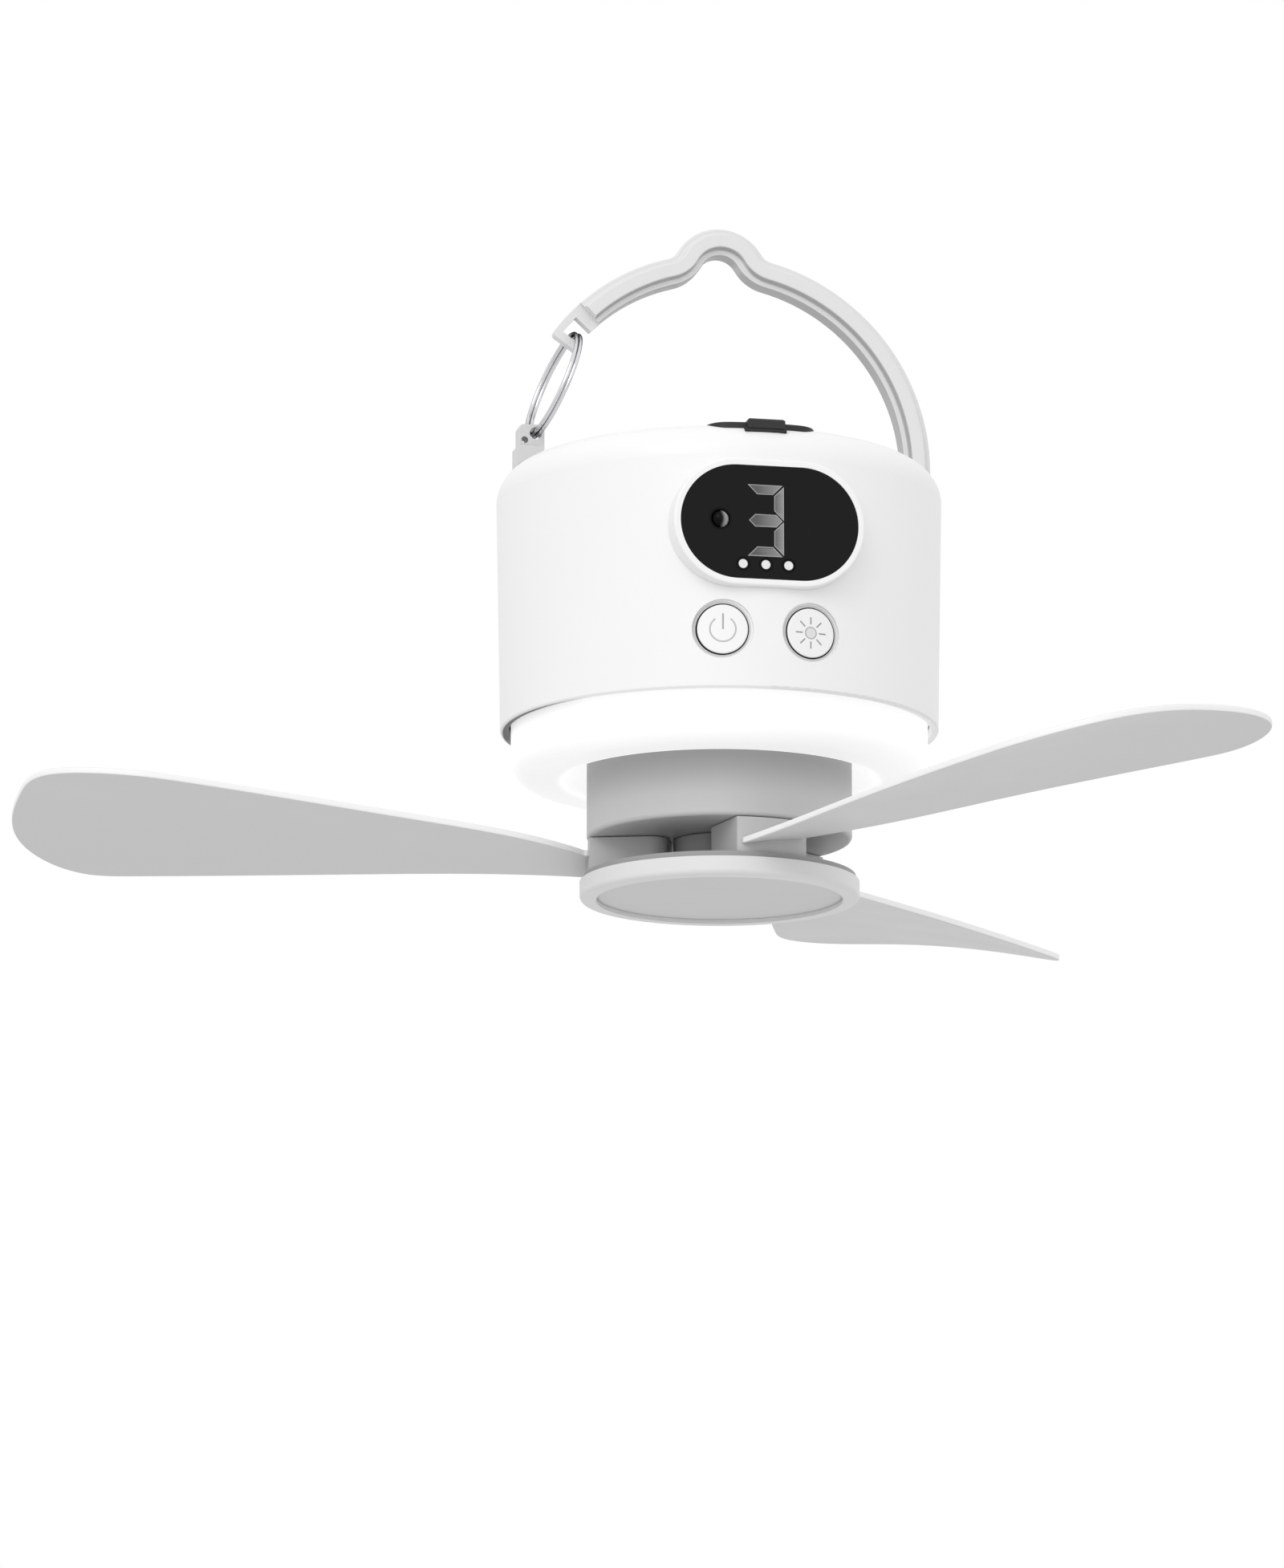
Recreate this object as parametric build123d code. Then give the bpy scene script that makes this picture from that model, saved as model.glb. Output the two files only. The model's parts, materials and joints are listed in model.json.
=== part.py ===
from build123d import *
from math import asin, atan2, cos, degrees, hypot, radians, sin, sqrt
import os

# Portable camping fan: a battery body with a lamp ring and a three-blade rotor, hung by a carabiner handle.
# Millimetres. The origin is the centre of the round saddle that the fan hangs from, +Z is up and the
# display faces -Y.

# ---------------------------------------------------------------- driving dimensions
# body shell
body_radius = 63.0
body_height = 75.8
body_draft = 1.25           # the shell is this much slimmer at its open rim
shoulder_radius = 10.0
wall = 2.4
rim_round = 0.7

# lamp ring and motor neck
lamp_gap = 0.65             # body shell's inside in to the lamp
lamp_drop = 13.9            # how far the lamp hangs below the rim
lamp_hole_gap = 0.8         # neck flange out to the lamp's hole
lamp_wall = 1.8
lamp_round = 5.5
lamp_inner_round = 2.0
base_lift = 2.6             # rim up to the underside of the base plate
base_thickness = 2.6
neck_radius = 37.3
neck_drop = 16.9            # underside of the lamp down to the underside of the neck
neck_wall = 2.2
neck_floor = 3.0
neck_flange_width = 5.1
neck_flange = 2.0
led_count = 24
led_board_thickness = 1.2

# rotor
rotor_gap = 0.3
rotor_angle = 41.5          # where blade 1 stands at rest, degrees from +X
root_height = 10.0
root_width = 21.0
root_inner_radius = 14.0
root_inset = 0.3            # neck's side in to the root blocks' outer faces
root_corner = 5.0
hub_disc_rim = 1.3          # disc beyond the root blocks
hub_disc_thickness = 1.6
hub_boss_radius = 13.0
blade_count = 3
blade_reach = 194.0
blade_chord = 84.0
blade_thickness = 1.8
blade_pitch = 8.6           # degrees at the root, the trailing edge stands high
blade_rise = 1.05           # degrees, root to tip
blade_camber = 244.0        # radius that the sheet is curved to
blade_twist = 19.0          # degrees from the blade's line to the straight lines of the curve
blade_root_lift = 3.7       # hub disc up to the blade's underside at the root
blade_round = 0.5
cap_rim = 1.0               # cap beyond the disc
cap_height = 5.2
cap_border = 4.6            # cap's side in to its recess
cap_recess = 1.2
cap_disc_thickness = 1.0
cap_round = 1.4
cap_wall = 2.2

# motor
motor_radius = 16.5
motor_height = 26.0
motor_wall = 1.4
motor_boss_wall = 1.0
air_gap = 1.0               # magnets in to the armature
magnet_thickness = 2.6
shaft_radius = 1.5
bearing_radius = 4.0
bearing_height = 2.5

# carry handle, its hinge pin and the split ring
saddle_radius = 6.0
saddle_dip = 2.6            # top of the big arc's middle line down to the saddle's centre
handle_width = 7.9
handle_rib_width = 4.1
handle_rib = 2.2
handle_plate = 5.8
handle_inset = 6.65         # body's side in to the middle line of the handle's big arc
handle_centre_lift = 3.05   # centre of the big arc above the body's top
handle_shift = 0.9          # centre of the big arc to the hinge's side of the saddle
handle_blend = 8.5          # middle-line radius between the hump and the big arc
handle_rib_end = 133.5      # degrees round the big arc where the rib stops
hook_notch_start = 137.0
hook_notch_end = 142.7
hook_end = 145.1
hook_barb = 1.2             # degrees that the finger's lip reaches back over the notch
hook_lip = 2.6              # radial height of the lip
hook_round = 1.2
hook_depth = 3.2
hook_wall = 2.1             # web left outside the notch
pin_radius = 1.5
pin_drop = 12.5             # centre of the big arc down to the hinge pin
well_play = 0.4             # round the handle's foot and the lug
well_wall = 2.0
ring_wire = 1.2
ring_seat = 0.45            # wire above the hook's finger
ring_depth = 2.9            # wire past the notch's mouth

# lug that holds the ring
lug_inset = 4.1             # body's side in to the lug's foot
lug_width = 7.5
lug_depth = 7.8
lug_foot_rise = 4.2         # above the body's top
lug_rise = 10.6
lug_head_shift = 0.55       # head further in than the foot
lug_head_depth = 5.0
lug_eye_radius = 1.75
lug_eye_inset = 2.55        # from the head's inner side and top
lug_corner = 1.7
lug_pinhole_radius = 0.95
lug_pinhole_inset = 1.75    # from the head's outer side and foot

# display
display_drop = 29.8         # body top down to the display's middle
bezel_rim = 1.9             # bezel beyond the lens
bezel_proud = 1.5
lens_length = 50.1
lens_height = 32.0
lens_thickness = 1.0
lens_inset = 0.25
window_ledge = 1.9
collar_wall = 1.1
digit_height = 20.2
digit_width = 10.2
digit_shift = -1.1          # what shows in the lens stands left of its middle
digit_lift = 0.5
digit_bar = 2.7
digit_gap = 0.35
digit_inlay = 0.35
dot_radius = 1.4
dot_pitch = 6.42
dot_drop = 11.9
sensor_radius = 2.5
sensor_offset = 12.8        # from the digit's middle

# buttons
button_drop = 59.5
button_spread = 24.8
button_radius = 6.95
button_gap = 0.3
button_recess = 1.4         # recess beyond the button
recess_depth = 0.9
button_sink = 0.35
button_flange = 1.1
button_flange_width = 1.1
button_stem_radius = 1.9
button_travel = 0.8

# port cover
port_inset = 10.5           # body's side in to the middle line of the cover's curved slot
port_width = 12.4
port_span = 30.8
port_cover_thickness = 1.9
port_grip_width = 11.6
port_pad = 3.2              # thickness of the body under the cover
port_board_drop = 9.0       # cover's seat down to the port board

# insides
cell_radius = 9.2
cell_length = 65.0
cell_gap = 1.0              # between two cells
cell_shift = 4.0            # pack's middle behind the body's axis
tray_border = 1.1           # tray beyond the cells
power_board_gap = 8.4       # tray's back to the power board
board_thickness = 1.6
board_inset = 14.0          # body's side in to the control board's middle
screw_radius = 1.25
head_radius = 2.2
head_height = 1.4
small_screw_radius = 0.85
small_head_radius = 1.9
small_head_height = 1.2
small_bore = 0.9            # pilot hole that a small screw bites into
board_hole = 1.1            # radius of the screw holes in a board
fit = 0.15                  # side clearance between parts of one body
run_fit = 0.05              # radial clearance of a turning pin or shaft

# ---------------------------------------------------------------- levels and places that follow
handle_radius = body_radius - handle_inset
top_z = saddle_dip - handle_radius - handle_centre_lift
rim_z = top_z - body_height
base_z = rim_z + base_lift
base_top_z = base_z + base_thickness
lamp_z = rim_z - lamp_drop
neck_z = lamp_z - neck_drop
root_top_z = neck_z - rotor_gap
root_z = root_top_z - root_height
disc_z = root_z - hub_disc_thickness
cap_z = disc_z - cap_height
roof_z = top_z - wall
display_z = top_z - display_drop
digit_z = display_z + digit_lift
button_z = top_z - button_drop
face_y = -(body_radius + bezel_proud)
outside_y = -(body_radius + 5)
arc_z = top_z + handle_centre_lift
pin_z = arc_z - pin_drop
board_y = board_inset - body_radius
lamp_radius = body_radius - body_draft - wall - lamp_gap
neck_flange_radius = neck_radius + neck_flange_width
lamp_hole_radius = neck_flange_radius + lamp_hole_gap
root_outer_radius = neck_radius - root_inset
hub_disc_radius = root_outer_radius + hub_disc_rim
cap_radius = hub_disc_radius + cap_rim
cap_recess_radius = cap_radius - cap_border
motor_boss_radius = bearing_radius + motor_boss_wall
armature_radius = motor_radius - motor_wall - magnet_thickness - air_gap
hinge_x = handle_shift + handle_radius
port_radius = body_radius - port_inset
os.makedirs("parts", exist_ok=True)


def save(name, shape):
    shape.label = name
    export_step(shape, f"parts/{name}.step")


def disc(radius, low, high, x=0, y=0):
    """Upright cylinder between two levels."""
    return Pos(x, y, (low + high) / 2) * Cylinder(radius, high - low)


def tube(outer, inner, low, high, x=0, y=0):
    return disc(outer, low, high, x, y) - disc(inner, low - 1, high + 1, x, y)


def block(x0, x1, y0, y1, z0, z1):
    return Pos((x0 + x1) / 2, (y0 + y1) / 2, (z0 + z1) / 2) * Box(x1 - x0, y1 - y0, z1 - z0)


def rod_y(radius, y0, y1, x, z):
    """Cylinder along Y."""
    return Pos(x, (y0 + y1) / 2, z) * Rot(90, 0, 0) * Cylinder(radius, y1 - y0)


def prism_y(sketch, y0, y1, x=0, z=0):
    """Sketch drawn in X and Z, carried from y0 to y1."""
    plane = Plane(origin=(x, y1, z), x_dir=(1, 0, 0), z_dir=(0, -1, 0))
    return extrude(plane * sketch, y1 - y0, dir=(0, -1, 0))


def turned(edges):
    """Closed half-profile drawn in X and Z, turned about Z."""
    return revolve(make_face(Plane.XZ * edges), Axis.Z)


def polar(radius, angle):
    return radius * cos(radians(angle)), radius * sin(radians(angle))


def arc_between(centre, radius, start, end):
    """Arc in a sketch from one angle to another, in degrees."""
    def place(angle):
        return centre[0] + radius * cos(radians(angle)), centre[1] + radius * sin(radians(angle))
    return ThreePointArc(place(start), place((start + end) / 2), place(end))


def body_form(inset):
    """Solid of the body's outside, pulled in by inset."""
    corner = shoulder_radius - inset
    high = top_z - inset
    side = body_radius - inset
    foot = side - body_draft
    bend = arc_between((side - corner, high - corner), corner, 0, 90)
    return turned(
        Line((0, rim_z), (foot, rim_z))
        + Line((foot, rim_z), (side, high - corner))
        + bend
        + Line((side - corner, high), (0, high))
        + Line((0, high), (0, rim_z))
    )


def ring_of(count, radius, start=0):
    """Places round the axis."""
    return [polar(radius, start + 360 * i / count) for i in range(count)]


# ---------------------------------------------------------------- body shell
port_turn = degrees(asin((port_span - port_width) / 2 / port_radius))
port_arc = CenterArc((0, 0), port_radius, -90 - port_turn, 2 * port_turn)
port_floor_z = top_z - port_cover_thickness - fit
port_pad_z = port_floor_z - port_pad
port_board_z = port_floor_z - port_board_drop
port_y = -port_radius
port_post_x = 15.0
usb_c = (-7.9, 9.0, 3.3)        # place along X, width, depth
usb_a = (5.2, 13.2, 5.8)
grip_front = port_radius + port_width / 2 + 1.8
grip_low_z = top_z - port_cover_thickness - 1.1
grip_high_z = top_z + 0.6
grip_back = port_radius + port_width / 2 - 2
handle_depth = handle_plate + 2 * handle_rib
lug_outer_x = -body_radius + lug_inset
lug_inner_x = lug_outer_x + lug_width
lug_middle_x = (lug_outer_x + lug_inner_x) / 2
hinge_well_y = handle_depth / 2 + well_play
lug_well_y = lug_depth / 2 + well_play
wells = (
    (hinge_x - handle_width / 2 - 1.3, hinge_x + handle_width / 2 + well_play, hinge_well_y),
    (lug_outer_x - well_play, lug_inner_x + well_play, lug_well_y),
)
well_floor_z = pin_z - handle_width / 2 - 0.6
boss_radius = 3.2
boss_place = body_radius - body_draft - wall - boss_radius - 0.35
boss_angles = (90, 210, 330)
post_radius = 2.2
post_x = 24.5
post_levels = (top_z - 18.5, top_z - 61.5)
button_places = {"power_button": -button_spread / 2, "light_button": button_spread / 2}


def body_shell():
    shell = body_form(0) - body_form(wall)
    shell = fillet(shell.edges().group_by(Axis.Z)[0], rim_round)
    core = body_form(wall / 2)
    for x0, x1, half in wells:                              # wells for the handle's hinge and the lug
        housing = block(x0 - well_wall, x1 + well_wall, -half - well_wall, half + well_wall,
                        well_floor_z - well_wall, top_z)
        shell += housing & core
    for x0, x1, half in wells:
        shell -= block(x0, x1, -half, half, well_floor_z, top_z + 1)
    pin_reach = hinge_well_y + well_wall + 1
    shell -= rod_y(pin_radius + 0.02, -pin_reach, pin_reach, hinge_x, pin_z)
    shell -= disc(screw_radius + fit, well_floor_z - well_wall - 1, well_floor_z + 1, lug_middle_x)
    for angle in boss_angles:                               # screw bosses for the base plate
        x, y = polar(boss_place, angle)
        shell += disc(boss_radius, base_top_z, top_z - wall / 2, x, y) & core
        shell -= disc(screw_radius, base_top_z - 1, base_top_z + 12, x, y)
    for x in (-post_x, post_x):                             # posts for the control board
        for z in post_levels:
            shell += rod_y(post_radius, -body_radius, board_y - board_thickness / 2, x, z) & core
            shell -= rod_y(small_bore, board_y - board_thickness / 2 - 4, board_y, x, z)
    for x in (-power_post_x, power_post_x):                 # posts for the power board
        for z in power_post_z:
            shell += rod_y(post_radius, power_board_y, body_radius, x, z) & core
            shell -= rod_y(small_bore, power_board_y - 1, power_board_y + 4, x, z)
    pad = block(-port_span / 2 - 2, port_span / 2 + 2, -body_radius, port_y + 9, port_pad_z, top_z)
    shell += pad & core
    for x in (-port_post_x, port_post_x):
        shell += disc(2.0, port_board_z, port_pad_z + 1, x, port_y)
        shell -= disc(small_bore, port_board_z - 1, port_board_z + 4, x, port_y)
    shell -= port_cover_room()
    for x, width, depth in (usb_c, usb_a):
        shell -= block(x - width / 2 - fit, x + width / 2 + fit, port_y - depth / 2 - fit,
                       port_y + depth / 2 + fit, port_pad_z - 1, top_z)
    window = SlotOverall(window_length + 2 * fit, window_height + 2 * fit)
    shell -= prism_y(window, outside_y, board_y - 1, z=display_z)
    for x in button_places.values():
        recess = rod_y(button_radius + button_recess, outside_y, board_y - 1, x, button_z)
        shell -= recess - body_form(recess_depth)
        shell -= rod_y(button_radius + button_gap, outside_y, board_y - 1, x, button_z)
    return shell


# ---------------------------------------------------------------- display
bezel_length = lens_length + 2 * bezel_rim
bezel_height = lens_height + 2 * bezel_rim
opening_length = lens_length - 2 * window_ledge
opening_height = lens_height - 2 * window_ledge
window_length = opening_length + 2 * collar_wall
window_height = opening_height + 2 * collar_wall
collar_back_y = 1 - sqrt(body_radius ** 2 - (window_length / 2) ** 2)
lens_y = face_y + lens_inset
lens_back_y = lens_y + lens_thickness
board_face_y = board_y - board_thickness / 2
sensor_x = digit_shift - sensor_offset


def display_bezel():
    puck = prism_y(SlotOverall(bezel_length, bezel_height), face_y, board_y, z=display_z)
    puck -= body_form(-run_fit)
    puck = fillet(puck.faces().sort_by(Axis.Y)[0].edges(), 0.6)
    collar = prism_y(SlotOverall(window_length, window_height), lens_back_y, collar_back_y, z=display_z)
    bezel = puck + collar
    bezel -= prism_y(SlotOverall(lens_length + fit, lens_height + fit), face_y - 1, lens_back_y, z=display_z)
    return bezel - prism_y(SlotOverall(opening_length, opening_height), face_y - 1, board_y, z=display_z)


def digit_three():
    """The five lit bars of a seven-segment three, drawn in X and Z about the digit's middle."""
    w, h, t, g = digit_width / 2, digit_height / 2, digit_bar, digit_gap
    m = 0.65 * t
    top = Polygon((-w, h), (w - g, h), (w - g - t, h - t), (t - w, h - t), align=None)
    upper = Polygon((w, h - g), (w, g / 2), (w - t, g / 2 + t), (w - t, h - g - t), align=None)
    middle = Polygon((g - w, 0), (g - w + m, m), (w - g - m, m), (w - g, 0), (w - g - m, -m),
                     (g - w + m, -m), align=None)
    return [top, upper, middle, mirror(upper, Plane.XZ), mirror(top, Plane.XZ)]


def digit_bars():
    return [prism_y(bar, lens_y, lens_y + digit_inlay, digit_shift, digit_z) for bar in digit_three()]


def dot_places():
    return [(digit_shift + i * dot_pitch, display_z - dot_drop) for i in (-1, 0, 1)]


def display_lens():
    lens = prism_y(SlotOverall(lens_length, lens_height), lens_y, lens_back_y, z=display_z)
    for bar in digit_bars():
        lens -= bar
    for x, z in dot_places():
        lens -= rod_y(dot_radius + fit / 2, lens_y - 1, lens_back_y + 1, x, z)
    return lens - rod_y(sensor_radius + fit / 2, lens_y - 1, lens_back_y + 1, sensor_x, digit_z)


def ir_sensor():
    dome_y = lens_y + sensor_radius * 0.45
    dome = Pos(sensor_x, dome_y, digit_z) * Sphere(sensor_radius)
    barrel = rod_y(sensor_radius, dome_y, board_face_y, sensor_x, digit_z)
    return dome + barrel


def indicator_lights():
    return Compound([rod_y(dot_radius, lens_y, board_face_y, x, z) for x, z in dot_places()])


def display_module():
    half = digit_width / 2 + 4.5
    low = display_z - dot_drop + dot_radius + 0.4
    return block(digit_shift - half, digit_shift + half, lens_back_y + fit, board_face_y,
                 low, digit_z + digit_height / 2 + 1)


# ---------------------------------------------------------------- buttons and control board
button_flange_radius = button_radius + button_flange_width
flange_reach = button_spread / 2 + button_flange_radius
flange_y = 0.5 - sqrt((body_radius - body_draft - wall) ** 2 - flange_reach ** 2)
stem_y = flange_y + button_flange + 0.8
switch_height = 1.9


def button(x):
    cap = rod_y(button_radius, -body_radius - 1, flange_y, x, button_z) & body_form(button_sink)
    cap = fillet(cap.faces().sort_by(Axis.Y)[0].edges(), 0.5)
    flange = rod_y(button_flange_radius, flange_y, flange_y + button_flange, x, button_z)
    return cap + flange + rod_y(button_stem_radius, flange_y, stem_y, x, button_z)


def tact_switches():
    bodies = []
    for x in button_places.values():
        body = block(x - 3, x + 3, board_face_y - switch_height, board_face_y, button_z - 3, button_z + 3)
        bodies.append(body + rod_y(1.6, stem_y + button_travel + 0.15, board_face_y, x, button_z))
    return Compound(bodies)


def control_board():
    half = post_x + 3.5
    board = block(-half, half, board_face_y, board_face_y + board_thickness,
                  post_levels[1] - 3.5, post_levels[0] + 3.5)
    for x in (-post_x, post_x):
        for z in post_levels:
            board -= rod_y(board_hole, board_face_y - 1, board_face_y + 3, x, z)
    return board


def board_screws():
    back = board_face_y + board_thickness
    return Compound([
        rod_y(small_screw_radius, back - 5, back, x, z)
        + rod_y(small_head_radius, back, back + small_head_height, x, z)
        for x in (-post_x, post_x) for z in post_levels
    ])


# ---------------------------------------------------------------- ports and their rubber cover
grip_half = port_grip_width / 2


def port_slab(spread, low, high):
    """Curved slot shape of the cover, grown by spread."""
    return extrude(Plane.XY.offset(low) * SlotArc(port_arc, port_width + 2 * spread), high - low)


def port_cover_room():
    grip = block(-grip_half - fit, grip_half + fit, outside_y, -grip_back, grip_low_z - fit, top_z + 5)
    return port_slab(fit, port_floor_z, top_z + 5) + grip


def port_cover():
    slab = port_slab(0, top_z - port_cover_thickness, top_z)
    slab = fillet(slab.edges().group_by(Axis.Z)[-1], 0.4)
    lip = block(-grip_half, grip_half, -grip_front, -grip_back - fit, grip_low_z, grip_low_z + 1.2)
    pad = block(-grip_half + 0.5, grip_half - 0.5, -grip_front - 0.4, -grip_back - 1,
                grip_low_z + 0.9, grip_high_z)
    pad = chamfer(pad.edges().group_by(Axis.Z)[-1], 0.5)
    return slab + lip + pad


def socket(place, rim, tongue, tongue_shift):
    """Upright metal socket on the port board with its contact tongue."""
    x, width, depth = place
    high = port_floor_z - 0.3
    shell = block(x - width / 2, x + width / 2, port_y - depth / 2, port_y + depth / 2, port_board_z, high)
    shell = fillet(shell.edges().filter_by(Axis.Z), min(depth, width) * rim)
    room = offset(shell, -0.35)
    shell -= room + Pos(0, 0, 2) * room
    half = width / 2 - 1.6
    mid = port_y + tongue_shift
    return shell + block(x - half, x + half, mid - tongue / 2, mid + tongue / 2, port_board_z, high - 1)


def port_board():
    half = port_post_x + 3
    board = block(-half, half, port_y - 4.6, port_y + 5.5, port_board_z - board_thickness, port_board_z)
    for x in (-port_post_x, port_post_x):
        board -= disc(board_hole, port_board_z - 5, port_board_z + 1, x, port_y)
    return board


def port_screws():
    low = port_board_z - board_thickness
    return Compound([
        disc(small_screw_radius, low, low + 5, x, port_y)
        + disc(small_head_radius, low - small_head_height, low, x, port_y)
        for x in (-port_post_x, port_post_x)
    ])


# ---------------------------------------------------------------- battery and power board
cell_pitch = 2 * cell_radius + cell_gap
tray_half = cell_pitch / 2 + cell_radius + tray_border
cell_low = base_top_z + 2.0
cell_places = [(sx * cell_pitch / 2, cell_shift + sy * cell_pitch / 2) for sx in (-1, 1) for sy in (-1, 1)]
power_board_y = cell_shift + tray_half + power_board_gap + board_thickness
power_post_x = 14.0
power_post_z = (top_z - 24, top_z - 58)


def battery_tray():
    y0, y1 = cell_shift - tray_half, cell_shift + tray_half
    tray = block(-tray_half, tray_half, y0, y1, base_top_z, cell_low + 6)
    tray = fillet(tray.edges().filter_by(Axis.Z), 3)
    for x, y in cell_places:
        tray -= disc(cell_radius + fit / 2, cell_low, cell_low + 10, x, y)
    return tray


def battery_cells():
    high = cell_low + cell_length
    return Compound([
        fillet(disc(cell_radius, cell_low, high - 1, x, y).edges(), 0.6) + disc(3, high - 1.5, high, x, y)
        for x, y in cell_places
    ])


def battery_clamp():
    y0, y1 = cell_shift - tray_half, cell_shift + tray_half
    return block(-tray_half, tray_half, y0, y1, cell_low + cell_length, roof_z)


def power_board():
    board = block(-power_post_x - 4, power_post_x + 4, power_board_y - board_thickness, power_board_y,
                  power_post_z[1] - 5, power_post_z[0] + 5)
    for x in (-power_post_x, power_post_x):
        for z in power_post_z:
            board -= rod_y(board_hole, power_board_y - 3, power_board_y + 1, x, z)
    return board


def power_screws():
    face = power_board_y - board_thickness
    return Compound([
        rod_y(small_screw_radius, face, face + 5, x, z)
        + rod_y(small_head_radius, face - small_head_height, face, x, z)
        for x in (-power_post_x, power_post_x) for z in power_post_z
    ])


# ---------------------------------------------------------------- base plate, lamp and neck
neck_screw_place = (neck_radius + neck_flange_radius) / 2
neck_screw_places = ring_of(4, neck_screw_place, 45)
motor_screw_places = [(-10.0, 0), (10.0, 0)]
led_place = (lamp_hole_radius + lamp_radius) / 2


def base_plate():
    plate = tube(body_radius - body_draft - wall - 0.25, 5, base_z, base_top_z)
    for x, y in neck_screw_places:
        plate += disc(2.8, base_top_z, base_top_z + 4, x, y)
        plate -= disc(screw_radius, base_z - 1, base_top_z + 3, x, y)
    for angle in boss_angles:
        x, y = polar(boss_place, angle)
        plate -= disc(screw_radius + fit, base_z - 1, base_top_z + 1, x, y)
        plate -= disc(2.4, base_z - 1, base_z + 1.5, x, y)
    return plate


def body_screws():
    return Compound([
        disc(screw_radius - 0.02, base_z + 1.5, base_top_z + 9, *polar(boss_place, angle))
        + disc(head_radius, base_z + 0.1, base_z + 0.1 + head_height, *polar(boss_place, angle))
        for angle in boss_angles
    ])


def lamp_section(inset, high):
    """Half-section of the lamp ring, pulled in by inset."""
    inner, outer, low = lamp_hole_radius + inset, lamp_radius - inset, lamp_z + inset
    corner = lamp_round - inset
    curb = max(lamp_inner_round - inset, 0.3)
    return make_face(Plane.XZ * (
        Line((inner, high), (inner, low + curb))
        + arc_between((inner + curb, low + curb), curb, 180, 270)
        + Line((inner + curb, low), (outer - corner, low))
        + arc_between((outer - corner, low + corner), corner, 270, 360)
        + Line((outer, low + corner), (outer, high))
        + Line((outer, high), (inner, high))
    ))


def lamp_diffuser():
    return revolve(lamp_section(0, base_z), Axis.Z) - revolve(lamp_section(lamp_wall, base_z + 1), Axis.Z)


def led_board():
    play = lamp_wall + 0.3
    return tube(lamp_radius - play, lamp_hole_radius + play, base_z - led_board_thickness, base_z)


def led_chips():
    high = base_z - led_board_thickness
    chips = [
        Pos(0, 0, high - 0.4) * Rot(0, 0, 360 * i / led_count) * Pos(led_place, 0, 0) * Box(3.5, 2.8, 0.8)
        for i in range(led_count)
    ]
    return Compound(chips)


def neck_shell():
    cup = disc(neck_radius, neck_z, base_z)
    cup = fillet(cup.edges().group_by(Axis.Z)[0], 1.2)
    cup += disc(neck_flange_radius, base_z - neck_flange, base_z)
    cup -= disc(neck_radius - neck_wall, neck_z + neck_floor, base_z + 1)
    cup -= disc(motor_boss_radius + fit / 2, neck_z - 1, neck_z + neck_floor + 1)
    for x, y in neck_screw_places:
        cup -= disc(screw_radius + 0.05, base_z - neck_flange - 1, base_z + 1, x, y)
    for x, y in motor_screw_places:
        cup -= disc(screw_radius + 0.05, neck_z - 1, neck_z + neck_floor + 1, x, y)
        cup -= disc(2.4, neck_z - 1, neck_z + 1.6, x, y)
    return cup


def neck_screws():
    low = base_z - neck_flange
    return Compound([
        disc(screw_radius - 0.02, low, low + 6.5, x, y)
        + disc(head_radius - 0.1, low - head_height + 0.1, low, x, y)
        for x, y in neck_screw_places
    ])


# ---------------------------------------------------------------- motor
motor_low = neck_z + neck_floor
motor_high = motor_low + motor_height
bearing_seat = bearing_radius + 0.02
shaft_low = root_z + 1.2
shaft_high = motor_high - motor_wall - 0.3
bearing_lows = (neck_z + 0.7, motor_high - motor_wall - bearing_height)


def motor_can():
    can = disc(motor_radius, motor_low, motor_high) + disc(motor_boss_radius, neck_z + 0.2, motor_low)
    can -= disc(motor_radius - motor_wall, motor_low + motor_wall, motor_high - motor_wall)
    can += disc(bearing_radius + 1.2, bearing_lows[1], motor_high - motor_wall)
    can -= disc(2.2, neck_z, motor_low + motor_wall + 1)
    can -= disc(bearing_seat, bearing_lows[0], motor_low + motor_wall + 1)
    can -= disc(bearing_seat, bearing_lows[1] - 1, motor_high - motor_wall)
    for x, y in motor_screw_places:
        can -= disc(screw_radius, motor_low - 1, motor_low + motor_wall + 1, x, y)
    return can


def motor_bearings():
    return Compound([
        tube(bearing_radius, shaft_radius + run_fit, low, low + bearing_height) for low in bearing_lows
    ])


def motor_magnets():
    outer = motor_radius - motor_wall
    ring = tube(outer - 0.1, outer - magnet_thickness, motor_low + 3.4, motor_high - 7.4)
    return ring - block(-20, 20, -5.2, 5.2, motor_low, motor_high)


def motor_armature():
    return tube(armature_radius, shaft_radius + 0.02, motor_low + 2.9, motor_high - 6.9)


def motor_shaft():
    return disc(shaft_radius, shaft_low, shaft_high) - disc(small_screw_radius, shaft_low - 1, shaft_low + 6)


def motor_screws():
    head = neck_z + 1.6
    return Compound([
        disc(screw_radius - 0.02, head, motor_low + motor_wall - 0.1, x, y)
        + disc(head_radius, head - head_height, head, x, y)
        for x, y in motor_screw_places
    ])


# ---------------------------------------------------------------- rotor
blade_screw_radii = (root_inner_radius + 6, root_outer_radius - 5)
cap_floor_z = cap_z + cap_recess + cap_disc_thickness + 1.2
blade_angles = [rotor_angle + 360 * i / blade_count for i in range(blade_count)]
# blade outline: share of the reach beyond the root block, share of the chord
blade_edge = (
    (0.0, -0.11), (0.40, -0.035), (0.83, 0.029), (0.904, 0.058), (0.979, 0.183), (1.0, 0.272), (0.969, 0.69),
    (0.877, 0.987), (0.713, 1.012), (0.643, 0.945), (0.31, 0.549), (0.104, 0.303), (0.0, 0.112),
)


def blade_screw_places(angle):
    return [polar(radius, angle) for radius in blade_screw_radii]


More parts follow.
